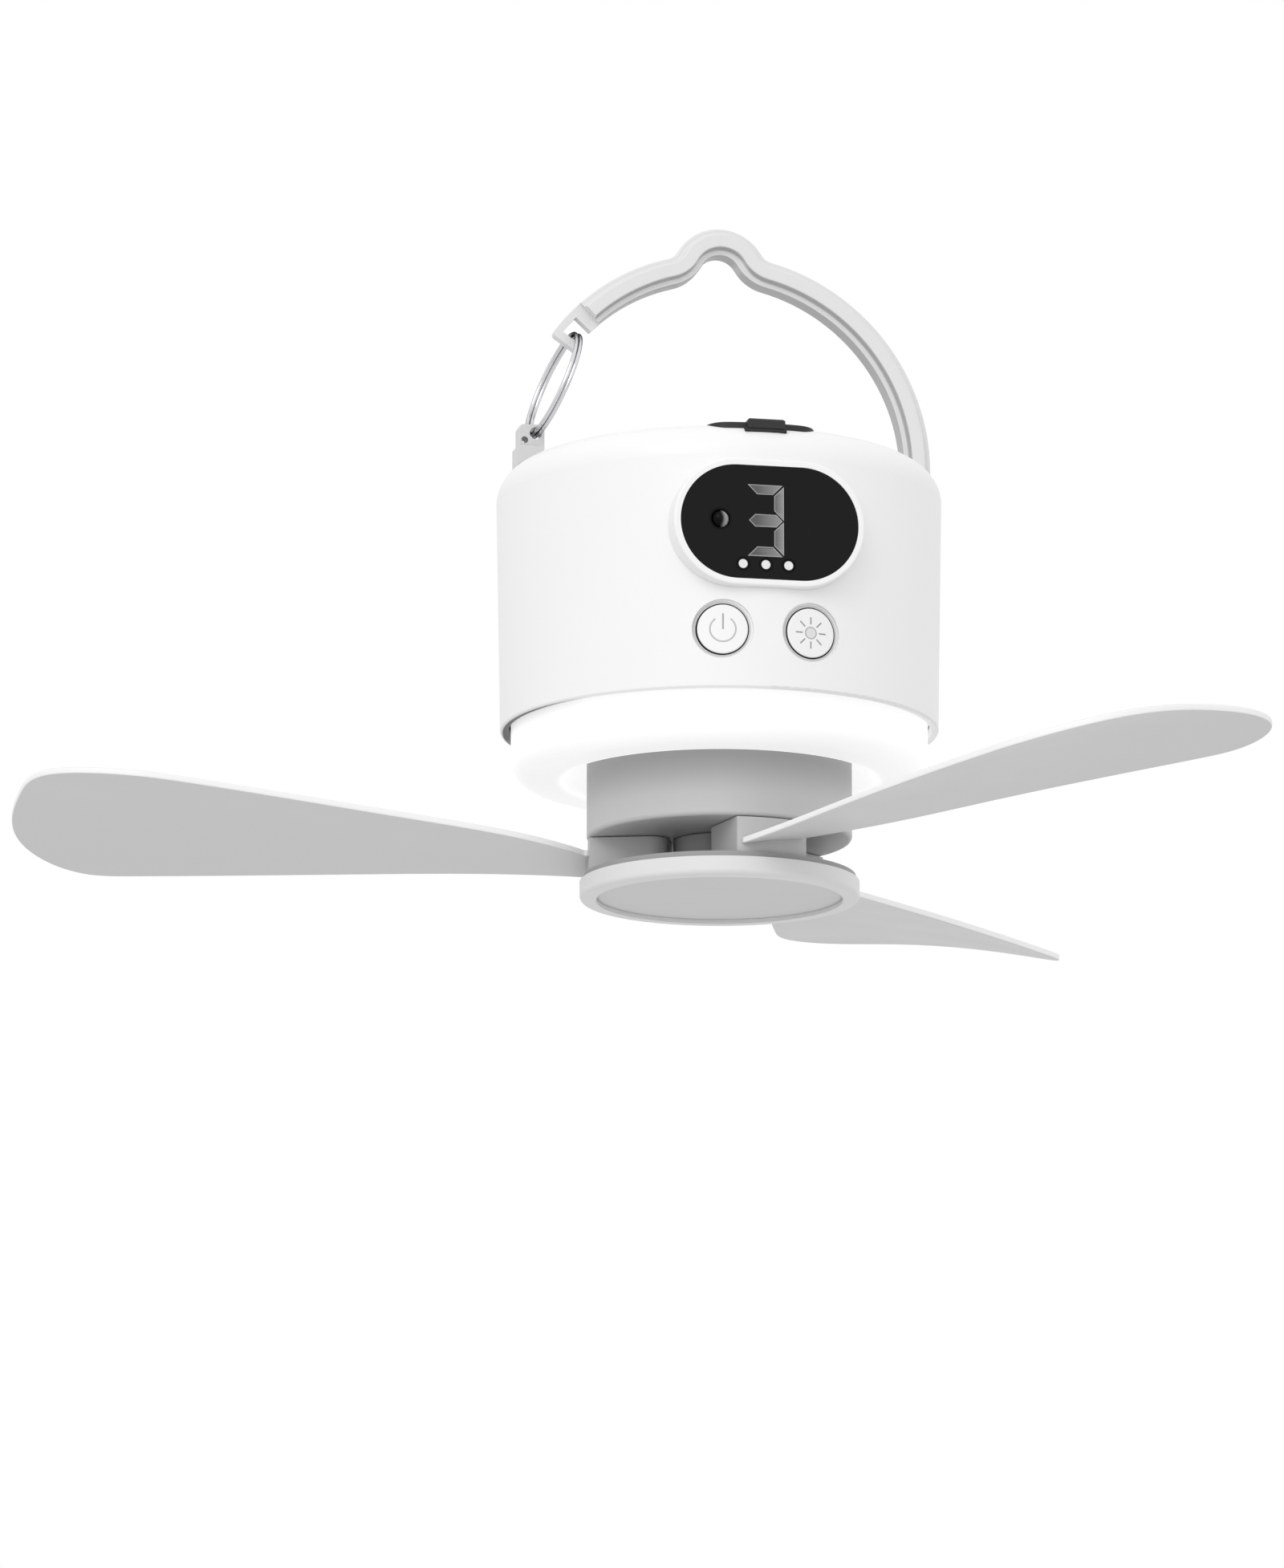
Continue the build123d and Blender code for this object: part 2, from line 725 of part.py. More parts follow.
def rotor_hub():
    hub = disc(hub_boss_radius, root_z, root_top_z) + disc(hub_disc_radius, disc_z, root_z)
    hub -= disc(shaft_radius + 0.02, shaft_low, root_top_z + 1)
    hub -= disc(small_bore, disc_z - 1, shaft_low + 1)
    for angle in blade_angles:
        for x, y in blade_screw_places(angle):
            hub -= disc(screw_radius + 0.05, disc_z - 1, root_z + 1, x, y)
    return hub


def blade_sheet():
    """Curved sheet that a blade is cut from, its crown through the root."""
    across = blade_reach + blade_chord
    sheet = Cylinder(blade_camber + blade_thickness, 2 * across) - Cylinder(blade_camber, 3 * across)
    lying = Pos(0, 0, -blade_camber) * Rot(0, 90, 0) * sheet
    return Rot(blade_pitch, -blade_rise, 0) * Rot(0, 0, blade_twist) * lying


def blade(angle):
    reach = blade_reach - root_outer_radius
    points = [(u * reach, v * blade_chord) for u, v in blade_edge]
    inward = (root_inner_radius - root_outer_radius) / 2
    outline = make_face(
        Spline(*points)
        + Polyline(points[-1], (inward, points[-1][1]), (inward, points[0][1]), points[0])
    )
    plate = Pos(0, 0, -blade_chord / 2) * extrude(outline, blade_chord) & blade_sheet()
    plate = fillet(plate.edges(), blade_round)
    plate = Pos(root_outer_radius, 0, root_z + blade_root_lift) * plate
    half = root_width / 2
    root = block(root_inner_radius, root_outer_radius + 2, -half, half, root_z, root_top_z)
    root = fillet(root.edges().filter_by(Axis.Z).group_by(Axis.X)[0], root_corner)
    root &= disc(root_outer_radius, root_z, root_top_z)
    whole = Rot(0, 0, angle) * (root + plate)
    for x, y in blade_screw_places(angle):
        whole -= disc(screw_radius, root_z - 1, root_z + 6.5, x, y)
    return whole


def blade_screws():
    return Compound([
        disc(screw_radius - 0.02, disc_z, root_z + 6, x, y)
        + disc(head_radius, disc_z - head_height, disc_z, x, y)
        for angle in blade_angles for x, y in blade_screw_places(angle)
    ])


def shaft_screw():
    shank = disc(small_screw_radius - 0.02, disc_z, shaft_low + 5)
    return shank + disc(head_radius, disc_z - head_height, disc_z)


def hub_cap():
    cap = fillet(disc(cap_radius, cap_z, disc_z).edges().group_by(Axis.Z)[0], cap_round)
    cap -= disc(cap_recess_radius, cap_z - 1, cap_z + cap_recess + cap_disc_thickness)
    return cap - disc(cap_radius - cap_wall, cap_floor_z, disc_z + 1)


def cap_disc():
    low = cap_z + cap_recess
    return disc(cap_recess_radius - 0.05, low, low + cap_disc_thickness)


# ---------------------------------------------------------------- carry handle
hump_radius = saddle_radius + handle_width / 2
handle_edge = 0.6
rib_foot = 0.9


def blend_centre(side):
    """Centre of the small arc between the hump and the big arc, on the -X or the +X side."""
    from_hump = hump_radius + handle_blend
    from_arc = handle_radius + handle_blend
    span = hypot(handle_shift, arc_z)
    along = (from_hump ** 2 - from_arc ** 2 + span ** 2) / (2 * span)
    across = side * sqrt(from_hump ** 2 - along ** 2)
    ux, uz = handle_shift / span, arc_z / span
    return along * ux - across * uz, along * uz + across * ux


def direction(start, end):
    """Angle of the way from one place to another, from 0 to 360 degrees."""
    return degrees(atan2(end[1] - start[1], end[0] - start[0])) % 360


def handle_path():
    hump_centre = (0, 0)
    arc_centre = (handle_shift, arc_z)
    left, right = blend_centre(-1), blend_centre(1)
    edges = [
        arc_between(arc_centre, handle_radius, handle_rib_end, direction(arc_centre, left)),
        arc_between(left, handle_blend, direction(left, arc_centre), direction(left, hump_centre)),
        arc_between(hump_centre, hump_radius, direction(hump_centre, left), direction(hump_centre, right)),
        arc_between(right, handle_blend, direction(right, hump_centre), direction(right, arc_centre)),
        arc_between(arc_centre, handle_radius, direction(arc_centre, right), 0),
        Line((hinge_x, arc_z), (hinge_x, pin_z)),
    ]
    return Plane.XZ * Wire([edge.edge() for edge in edges])


def handle_section():
    """Plate with a rib on both faces, drawn with its depth along X."""
    plate = RectangleRounded(handle_plate, handle_width, handle_edge)
    section = plate + RectangleRounded(handle_depth, handle_rib_width, handle_edge)
    waist = [
        v for v in section.vertices()
        if abs(abs(v.X) - handle_plate / 2) + abs(abs(v.Y) - handle_rib_width / 2) < 0.01
    ]
    return fillet(waist, rib_foot)


def arc_place(radius, angle):
    """Place in X and Z about the big arc's centre."""
    x, z = polar(radius, angle)
    return handle_shift + x, arc_z + z


def arc_sector(low_radius, high_radius, start, end):
    """Piece of a flat ring about the big arc's centre."""
    centre = (handle_shift, arc_z)
    return make_face(
        arc_between(centre, high_radius, start, end)
        + Line(arc_place(high_radius, end), arc_place(low_radius, end))
        + arc_between(centre, low_radius, end, start)
        + Line(arc_place(low_radius, start), arc_place(high_radius, start))
    )


def hook():
    """Thin end of the handle with the notch that the ring slips into, and the lip that keeps it there."""
    inner, outer = handle_radius - handle_width / 2, handle_radius + handle_width / 2
    tab = prism_y(arc_sector(inner, outer, handle_rib_end - 1, hook_end), -hook_depth / 2, hook_depth / 2)
    tab = fillet(tab.edges().filter_by(Axis.Y).sort_by(Axis.X)[0:1], hook_round)
    notch = arc_sector(inner - 4, outer - hook_wall, hook_notch_start, hook_notch_end)
    lip = Polygon(arc_place(inner + hook_lip, hook_notch_end), arc_place(inner, hook_notch_end - hook_barb),
                  arc_place(inner, hook_notch_end + 0.5), align=None)
    tab -= prism_y(notch, -hook_depth, hook_depth)
    return tab + prism_y(lip, -hook_depth / 2, hook_depth / 2)


def carry_handle():
    path = handle_path()
    start = Plane(origin=path @ 0, x_dir=(0, 1, 0), z_dir=path % 0)
    bar = sweep(start * handle_section(), path=path)
    knuckle = rod_y(handle_width / 2, -handle_depth / 2, handle_depth / 2, hinge_x, pin_z)
    bore = rod_y(pin_radius + run_fit, -handle_depth, handle_depth, hinge_x, pin_z)
    return bar + hook() + knuckle - bore


def handle_pin():
    reach = hinge_well_y + well_wall - 0.2
    return rod_y(pin_radius, -reach, reach, hinge_x, pin_z)


# ---------------------------------------------------------------- lug and split ring
lug_top_z = top_z + lug_rise
lug_foot_z = top_z + lug_foot_rise
head_outer_x = lug_outer_x + lug_head_shift
head_inner_x = lug_inner_x + lug_head_shift
eye_x = head_inner_x - lug_eye_inset
eye_z = lug_top_z - lug_eye_inset


def ring_anchor():
    foot = block(lug_outer_x, lug_inner_x, -lug_depth / 2, lug_depth / 2, well_floor_z, lug_foot_z)
    foot = fillet(foot.edges().group_by(Axis.Z)[-1], 0.5)
    half = lug_head_depth / 2
    head = block(head_outer_x, head_inner_x, -half, half, lug_foot_z - 0.6, lug_top_z)
    head = fillet(head.edges().filter_by(Axis.Y).group_by(Axis.Z)[-1], lug_corner)
    head = fillet(head.edges().group_by(Axis.Z)[-1], 0.4)
    lug = foot + head - rod_y(lug_eye_radius, -lug_depth, lug_depth, eye_x, eye_z)
    lug -= rod_y(lug_pinhole_radius, -lug_depth, lug_depth,
                 head_outer_x + lug_pinhole_inset, lug_foot_z + lug_pinhole_inset)
    return lug - disc(screw_radius, well_floor_z - 1, well_floor_z + 9, lug_middle_x)


def anchor_screw():
    low = well_floor_z - well_wall
    shank = disc(screw_radius - 0.02, low, well_floor_z + 8, lug_middle_x)
    return shank + disc(2.3, low - 1.5, low, lug_middle_x)


def ring_top():
    """Place of the ring's wire in the hook's notch, so that it clears the finger by ring_seat."""
    radius = handle_radius - handle_width / 2 + ring_depth
    return arc_place(radius, hook_notch_end - degrees((0.75 * ring_wire + ring_seat) / radius))


def split_ring():
    x, z = ring_top()
    lean = atan2(z - eye_z, x - eye_x)
    radius = hypot(x - eye_x, z - eye_z) / 2
    centre = ((x + eye_x) / 2, 0, (z + eye_z) / 2)
    plane = Plane(origin=centre, x_dir=(0, 1, 0), z_dir=(sin(lean), 0, -cos(lean)))
    pitch = 1.02 * ring_wire
    turns = Pos(0, 0, -pitch) * Helix(pitch, 2 * pitch, radius)
    start = Plane(origin=turns @ 0, z_dir=turns % 0)
    return plane * sweep(start * Circle(ring_wire / 2), path=turns, is_frenet=True)


# ---------------------------------------------------------------- every piece into its own file
save("body_shell", body_shell())
save("display_bezel", display_bezel())
save("display_lens", display_lens())
save("display_digit", Compound(digit_bars()))
save("indicator_lights", indicator_lights())
save("ir_sensor", ir_sensor())
save("display_module", display_module())
save("control_board", control_board())
save("tact_switches", tact_switches())
save("board_screws", board_screws())
for name, x in button_places.items():
    save(name, button(x))
save("port_cover", port_cover())
save("usb_c_socket", socket(usb_c, 0.45, 0.7, 0))
save("usb_a_socket", socket(usb_a, 0.08, 1.8, 0.9))
save("port_board", port_board())
save("port_screws", port_screws())
save("battery_tray", battery_tray())
save("battery_cells", battery_cells())
save("battery_clamp", battery_clamp())
save("power_board", power_board())
save("power_screws", power_screws())
save("base_plate", base_plate())
save("body_screws", body_screws())
save("lamp_diffuser", lamp_diffuser())
save("led_board", led_board())
save("led_chips", led_chips())
save("neck_shell", neck_shell())
save("neck_screws", neck_screws())
save("motor_can", motor_can())
save("motor_bearings", motor_bearings())
save("motor_magnets", motor_magnets())
save("motor_armature", motor_armature())
save("motor_shaft", motor_shaft())
save("motor_screws", motor_screws())
save("rotor_hub", rotor_hub())
for number, angle in enumerate(blade_angles, 1):
    save(f"blade_{number}", blade(angle))
save("blade_screws", blade_screws())
save("shaft_screw", shaft_screw())
save("hub_cap", hub_cap())
save("cap_disc", cap_disc())
save("carry_handle", carry_handle())
save("handle_pin", handle_pin())
save("ring_anchor", ring_anchor())
save("anchor_screw", anchor_screw())
save("split_ring", split_ring())
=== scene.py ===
import bpy
import bmesh
import json
import math
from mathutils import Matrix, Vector
from mathutils.bvhtree import BVHTree


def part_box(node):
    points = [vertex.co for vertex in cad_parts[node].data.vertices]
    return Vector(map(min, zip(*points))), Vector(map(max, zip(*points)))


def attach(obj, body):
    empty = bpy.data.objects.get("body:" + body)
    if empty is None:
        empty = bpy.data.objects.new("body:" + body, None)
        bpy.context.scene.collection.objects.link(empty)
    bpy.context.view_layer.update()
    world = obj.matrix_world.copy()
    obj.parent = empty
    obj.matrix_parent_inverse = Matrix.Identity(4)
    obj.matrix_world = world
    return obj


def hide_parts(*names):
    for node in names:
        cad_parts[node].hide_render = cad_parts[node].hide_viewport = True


# A portable camping fan, hung by its handle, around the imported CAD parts.
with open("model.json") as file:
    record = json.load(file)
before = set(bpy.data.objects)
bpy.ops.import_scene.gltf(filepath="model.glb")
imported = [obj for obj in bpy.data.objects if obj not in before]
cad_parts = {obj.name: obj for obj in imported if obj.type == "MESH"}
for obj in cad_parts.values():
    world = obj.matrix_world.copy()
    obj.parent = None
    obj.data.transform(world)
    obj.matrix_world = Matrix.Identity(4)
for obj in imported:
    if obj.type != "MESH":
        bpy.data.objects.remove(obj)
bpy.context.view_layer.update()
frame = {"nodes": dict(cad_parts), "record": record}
nodes = frame["nodes"]
mm = 0.001


def linear(hexColour):
    channels = [int(hexColour[i:i + 2], 16) / 255 for i in (1, 3, 5)]
    return [c / 12.92 if c <= 0.04045 else ((c + 0.055) / 1.055) ** 2.4 for c in channels] + [1.0]


def unevenly(hexColour, amount):
    # the colour a little darker and a little paler, both linear
    base = linear(hexColour)[:3]
    return [c * (1 - amount) for c in base] + [1.0], [min(1, c * (1 + amount)) for c in base] + [1.0]


def addNode(tree, kind, settings=None, inputs=None, links=None):
    # one node with its settings, its input values, and links as {input: (node, output)}
    node = tree.nodes.new(kind)
    for name, value in (settings or {}).items():
        setattr(node, name, value)
    for name, value in (inputs or {}).items():
        node.inputs[name].default_value = value
    for name, (source, output) in (links or {}).items():
        tree.links.new(source.outputs[output], node.inputs[name])
    return node


def startMaterial(name):
    material = bpy.data.materials.new(name)
    material.use_nodes = True
    tree = material.node_tree
    tree.nodes.clear()
    output = addNode(tree, "ShaderNodeOutputMaterial")
    shader = addNode(tree, "ShaderNodeBsdfPrincipled")
    tree.links.new(shader.outputs["BSDF"], output.inputs["Surface"])
    return material, tree, shader


# What all the mouldings share: the slow drift of gloss and tint over a part, and the grain's strength.
moulding = {
    "driftMm": 24.0, "driftNoise": (0.3, 0.7),      # size of the drift, and where most of its noise lies
    "glossDrift": 0.05, "tint": 0.010,
    "grainStrength": 0.25,
    "ior": 1.53,                                    # ABS and nylon are both near it
}

# Moulded plastics: colour, gloss, and the grain that the mould leaves. Real spark-eroded grain is
# near 0.05 mm, too fine to show, so it is drawn coarser.
plastics = {
    "housing_white": {"name": "mouldedAbsWhite", "colour": "#F1F1F1", "roughness": 0.42,
                      "grainMm": 0.40, "depthMm": 0.010},
    "button_white": {"name": "polishedAbsWhite", "colour": "#F1F1F1", "roughness": 0.34,
                     "grainMm": 0.40, "depthMm": 0.005},
    "handle_grey": {"name": "mouldedNylonGrey", "colour": "#DEDEDE", "roughness": 0.38,
                    "grainMm": 0.45, "depthMm": 0.012,
                    # painted shade: the inner wall that faces the opening is drawn darker
                    "inward": {"middle": (0.9 * mm, 0, -53.75 * mm), "facing": (0.25, 0.85),
                               "colour": "#A9A9A9"}},
    "anchor": {"name": "mouldedNylonAnchor", "colour": "#CDCDCD", "roughness": 0.38,
               "grainMm": 0.45, "depthMm": 0.012},
    "neck_grey": {"name": "mouldedAbsGrey", "colour": "#C0C0C0", "roughness": 0.45,
                  "grainMm": 0.40, "depthMm": 0.010,
                  # painted shade: darker toward the top, under the lamp
                  "upperShade": {"fromMm": -158, "toMm": -145, "colour": "#9C9C9C"}},
    "blade_plastic": {"name": "mouldedPolypropylene", "colour": "#D1D1D1", "roughness": 0.44,
                      "grainMm": 0.60, "depthMm": 0.014, "ior": 1.49,
                      # painted highlight: the thin edges are drawn paler
                      "edge": {"level": (0.55, 0.93), "colour": "#F4F4F4"}},
    "hub_plastic": {"name": "mouldedAbsPale", "colour": "#DEDEDE", "roughness": 0.42,
                    "grainMm": 0.40, "depthMm": 0.010},
    # painted shade: the hub between the root blocks is drawn darker
    "hub": {"name": "shadedAbsHub", "colour": "#989898", "roughness": 0.50,
            "grainMm": 0.40, "depthMm": 0.010},
    "capDisc": {"name": "pressedInAbsDisc", "colour": "#CECECE", "roughness": 0.48,
                "grainMm": 0.50, "depthMm": 0.012},
    "cover_rubber": {"name": "mouldedSilicone", "colour": "#262626", "roughness": 0.50,
                     "grainMm": 0.30, "depthMm": 0.015, "ior": 1.41},
    # painted shade: black rings in the gaps round the keys stand for their shadow
    "keySeal": {"name": "keyGapShadeBlack", "colour": "#101010", "roughness": 0.60,
                "grainMm": 0.30, "depthMm": 0.010, "ior": 1.41},
    "magnet_dark": {"name": "sinteredFerrite", "colour": "#2A2A2C", "roughness": 0.70,
                    "grainMm": 0.25, "depthMm": 0.020},
    "board_green": {"name": "solderMaskGreen", "colour": "#1E5A34", "roughness": 0.35,
                    "grainMm": 0.80, "depthMm": 0.008},
    "board_white": {"name": "solderMaskWhite", "colour": "#E8E8E8", "roughness": 0.40,
                    "grainMm": 0.80, "depthMm": 0.008},
    "led_chip": {"name": "castPhosphor", "colour": "#F4E6A0", "roughness": 0.40,
                 "grainMm": 0.20, "depthMm": 0.010},
    "switch_black": {"name": "mouldedNylonBlack", "colour": "#1A1A1A", "roughness": 0.50,
                     "grainMm": 0.30, "depthMm": 0.010},
    "cell_wrap": {"name": "shrunkSleeve", "colour": "#3A6EA5", "roughness": 0.30,
                  "grainMm": 1.20, "depthMm": 0.020},
    "inner_plastic": {"name": "mouldedAbsDark", "colour": "#4C4C4F", "roughness": 0.50,
                      "grainMm": 0.40, "depthMm": 0.012},
}


def frontMiddle(node):
    low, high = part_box(node)
    return Vector(((low[0] + high[0]) / 2, low[1], (low[2] + high[2]) / 2))


keys = {
    "power_button": {"body": "power_key", "finish": "powerKeyAbs", "shadeRing": "powerKeyShadeRing"},
    "light_button": {"body": "light_key", "finish": "lightKeyAbs", "shadeRing": "lightKeyShadeRing"},
}
for node, key in keys.items():
    key["middle"] = frontMiddle(node)

# Round places of painted shade, where a moulding is drawn darker than the rest, by finish, or by node
# for the keys. Each is seen along Y or Z, and its edge softens by softMm on both sides of reachMm.
patches = {
    "housing_white": [
        {"middle": key["middle"] + Vector((-0.15, 0, 0)) * mm, "along": "Y", "reachMm": 7.9,
         "softMm": 0.3, "colour": "#C9C9C9"} for key in keys.values()   # painted shade on the floors of the key recesses
    ] + [
        {"middle": (0, 0, 0), "along": "Z", "reachMm": 61.1, "softMm": 0.3,
         "fadeMm": {"Z": (-128.8, -129.2), "X": (-46, -57)},
         "colour": "#3C3C3C"},                                  # painted shadow under the rim, on the lug's side
    ],
    "blade_plastic": [
        {"middle": (0, 0, 0), "along": "Z", "reachMm": 37.6, "softMm": 0.8,
         "colour": "#B9B9B9"},                                  # painted shade on the root blocks
    ],
    "capDisc": [
        {"middle": (0, 0, 0), "along": "Z", "reachMm": 34.2, "softMm": 0.8, "outside": True,
         "colour": "#A6A6A6"},                                  # painted shade in the corner round the disc
    ],
    "anchor": [
        {"middle": Vector((-56.60, 0, -50.85)) * mm, "along": "Y", "reachMm": 1.0, "softMm": 0.12,
         "colour": "#555555"},                                  # painted shade at the pinhole, drawn as a dark spot
    ],
}
for node, key in keys.items():
    patches[node] = [
        {"middle": key["middle"], "along": "Y", "reachMm": 6.86, "softMm": 0.1, "outside": True,
         "colour": "#1C1C1C"},                                  # painted shade on the key's side wall
    ]

# How much each direction counts in a patch. One along Y fades with depth, to stay on the front.
patchScale = {"Y": (1, 0.1, 1), "Z": (1, 1, 0)}


def patchMask(tree, place, patch):
    # 1 inside the round patch, 0 outside it
    scale = patchScale[patch["along"]]
    flat = addNode(tree, "ShaderNodeVectorMath", {"operation": "MULTIPLY"}, {1: scale},
                   {0: (place, "Object")})
    middle = [m * s for m, s in zip(patch["middle"], scale)]
    away = addNode(tree, "ShaderNodeVectorMath", {"operation": "DISTANCE"}, {1: middle}, {0: (flat, 0)})
    ends = (0.0, 1.0) if patch.get("outside") else (1.0, 0.0)
    mask = addNode(tree, "ShaderNodeMapRange", {"interpolation_type": "SMOOTHSTEP"},
                   {"From Min": (patch["reachMm"] - patch["softMm"]) * mm,
                    "From Max": (patch["reachMm"] + patch["softMm"]) * mm,
                    "To Min": ends[0], "To Max": ends[1]},
                   {"Value": (away, "Value")})
    for axis, (start, end) in patch.get("fadeMm", {}).items():
        split = addNode(tree, "ShaderNodeSeparateXYZ", links={"Vector": (place, "Object")})
        grown = addNode(tree, "ShaderNodeMapRange",
                        inputs={"From Min": start * mm, "From Max": end * mm},
                        links={"Value": (split, axis)})
        mask = addNode(tree, "ShaderNodeMath", {"operation": "MULTIPLY"},
                       links={0: (mask, 0), 1: (grown, 0)})
    return mask


def spotsMask(tree, place, spots, softMm):
    # 1 inside any of the spots seen along Y, each a middle and a reach in mm
    joined = None
    for middle, reachMm in spots:
        mask = patchMask(tree, place, {"middle": middle, "along": "Y", "reachMm": reachMm,
                                       "softMm": softMm})
        joined = mask if joined is None else addNode(
            tree, "ShaderNodeMath", {"operation": "MAXIMUM"}, links={0: (joined, 0), 1: (mask, 0)})
    return joined


def mouldedPlastic(look, ownPatches=()):
    material, tree, shader = startMaterial(look["name"])
    place = addNode(tree, "ShaderNodeTexCoord")
    slow = addNode(tree, "ShaderNodeTexNoise",
                   inputs={"Scale": 1 / (moulding["driftMm"] * mm), "Detail": 3.0},
                   links={"Vector": (place, "Object")})
    fine = addNode(tree, "ShaderNodeTexNoise",
                   inputs={"Scale": 1 / (look["grainMm"] * mm), "Detail": 2.0, "Roughness": 0.6},
                   links={"Vector": (place, "Object")})
    darker, paler = unevenly(look["colour"], moulding["tint"])
    shade = addNode(tree, "ShaderNodeMix", {"data_type": "RGBA"}, {6: darker, 7: paler},
                    {0: (slow, "Fac")})
    least, most = moulding["driftNoise"]
    gloss = addNode(tree, "ShaderNodeMapRange",
                    inputs={"From Min": least, "From Max": most,
                            "To Min": look["roughness"] - moulding["glossDrift"],
                            "To Max": look["roughness"] + moulding["glossDrift"]},
                    links={"Value": (slow, "Fac")})
    bump = addNode(tree, "ShaderNodeBump",
                   inputs={"Strength": moulding["grainStrength"], "Distance": look["depthMm"] * mm},
                   links={"Height": (fine, "Fac")})
    overlays = []       # masks, each with the colour that it lays over the base
    if "edge" in look:
        # painted highlight: the thin edges are drawn paler, as if lit
        pale, plain = look["edge"]["level"]
        turned = addNode(tree, "ShaderNodeSeparateXYZ", links={"Vector": (place, "Normal")})
        level = addNode(tree, "ShaderNodeMath", {"operation": "ABSOLUTE"}, links={0: (turned, "Z")})
        rim = addNode(tree, "ShaderNodeMapRange", {"interpolation_type": "SMOOTHSTEP"},
                      {"From Min": pale, "From Max": plain, "To Min": 1.0, "To Max": 0.0},
                      {"Value": (level, 0)})
        overlays.append((rim, look["edge"]["colour"]))
    if "upperShade" in look:
        # painted shade: the top is drawn darker, where the lamp's rim shades it
        plain, shaded = look["upperShade"]["fromMm"] * mm, look["upperShade"]["toMm"] * mm
        split = addNode(tree, "ShaderNodeSeparateXYZ", links={"Vector": (place, "Object")})
        high = addNode(tree, "ShaderNodeMapRange", {"interpolation_type": "SMOOTHSTEP"},
                       {"From Min": plain, "From Max": shaded}, {"Value": (split, "Z")})
        overlays.append((high, look["upperShade"]["colour"]))
    if "inward" in look:
        # painted shade: the side that faces the opening is drawn darker
        plain, shaded = look["inward"]["facing"]
        toward = addNode(tree, "ShaderNodeVectorMath", {"operation": "SUBTRACT"},
                         {0: look["inward"]["middle"]}, {1: (place, "Object")})
        level = addNode(tree, "ShaderNodeVectorMath", {"operation": "MULTIPLY"}, {1: (1, 0, 1)},
                        {0: (toward, 0)})
        unit = addNode(tree, "ShaderNodeVectorMath", {"operation": "NORMALIZE"}, links={0: (level, 0)})
        facing = addNode(tree, "ShaderNodeVectorMath", {"operation": "DOT_PRODUCT"},
                         links={0: (unit, 0), 1: (place, "Normal")})
        inner = addNode(tree, "ShaderNodeMapRange", {"interpolation_type": "SMOOTHSTEP"},
                        {"From Min": plain, "From Max": shaded}, {"Value": (facing, "Value")})
        overlays.append((inner, look["inward"]["colour"]))
    overlays += [(patchMask(tree, place, patch), patch["colour"]) for patch in ownPatches]
    for mask, colour in overlays:
        shade = addNode(tree, "ShaderNodeMix", {"data_type": "RGBA"}, {7: linear(colour)},
                        {0: (mask, 0), 6: (shade, 2)})
    tree.links.new(shade.outputs[2], shader.inputs["Base Color"])
    tree.links.new(gloss.outputs["Result"], shader.inputs["Roughness"])
    tree.links.new(bump.outputs["Normal"], shader.inputs["Normal"])
    shader.inputs["IOR"].default_value = look.get("ior", moulding["ior"])
    return material


# Metals: drawn, ground or plated, with the fine marks that the making leaves in the gloss.
metals = {
    "screw_steel": {"name": "zincPlatedSteel", "colour": "#A8A8AA", "roughness": 0.35, "markMm": 0.5},
    "motor_steel": {"name": "deepDrawnSteel", "colour": "#9C9CA0", "roughness": 0.30, "markMm": 1.5},
    "shaft_steel": {"name": "groundSteel", "colour": "#B4B4B8", "roughness": 0.20, "markMm": 0.3},
    "armature_copper": {"name": "enamelledCopper", "colour": "#B56B3C", "roughness": 0.35, "markMm": 0.5},
    "socket_metal": {"name": "nickelPlatedSteel", "colour": "#B8B8BA", "roughness": 0.25, "markMm": 0.8},
}


def workedMetal(look):
    material, tree, shader = startMaterial(look["name"])
    spread = 0.3        # how much rougher and smoother the marks are, as a share
    place = addNode(tree, "ShaderNodeTexCoord")
    marks = addNode(tree, "ShaderNodeTexNoise",
                    inputs={"Scale": 1 / (look["markMm"] * mm), "Detail": 4.0},
                    links={"Vector": (place, "Object")})
    gloss = addNode(tree, "ShaderNodeMapRange",
                    inputs={"To Min": look["roughness"] * (1 - spread),
                            "To Max": look["roughness"] * (1 + spread)},
                    links={"Value": (marks, "Fac")})
    tree.links.new(gloss.outputs["Result"], shader.inputs["Roughness"])
    shader.inputs["Base Color"].default_value = linear(look["colour"])
    shader.inputs["Metallic"].default_value = 1.0
    return material


ring = {
    "middle": (-47.83, -33.96),         # X and Z, mm
    "radius": 15.80, "lean": 69.36,     # mm, and degrees of its long line from +X
    "twist": 5.5,                       # degrees about its long line, which opens it toward the front
    "wireMm": 1.16, "pitchMm": 1.19,    # the wire, and from one turn to the next
    "jogStart": -82, "jogTurn": 26,     # degrees: where the wire steps between turns, behind the lug
    "points": 220,
    "colour": "#E0E0E2", "edge": "#46464A",
    "roughness": (0.054, 0.135), "markMm": 1.2,
}


def platedWire():
    # chrome over spring steel: a mirror, darker at its edges, with faint draw marks in the gloss
    material, tree, shader = startMaterial("chromePlatedWire")
    place = addNode(tree, "ShaderNodeTexCoord")
    marks = addNode(tree, "ShaderNodeTexNoise",
                    inputs={"Scale": 1 / (ring["markMm"] * mm), "Detail": 3.0},
                    links={"Vector": (place, "Object")})
    gloss = addNode(tree, "ShaderNodeMapRange",
                    inputs={"To Min": ring["roughness"][0], "To Max": ring["roughness"][1]},
                    links={"Value": (marks, "Fac")})
    tree.links.new(gloss.outputs["Result"], shader.inputs["Roughness"])
    shader.inputs["Base Color"].default_value = linear(ring["colour"])
    shader.inputs["Specular Tint"].default_value = linear(ring["edge"])
    shader.inputs["Metallic"].default_value = 1.0
    return material


lamp = {
    "body": "#B4B4B4", "glow": "#FFFFFF",
    "strength": 0.60,
    "dimMm": 9, "dimGain": 0.93,                            # the glow dims over the lowest part
    "holeMm": 45.2, "holeSoftMm": 1.5, "holeGain": 1.3,     # the hole's wall round the neck shines more
    "mottleMm": 30.0, "mottleGain": (0.98, 1.02),
}


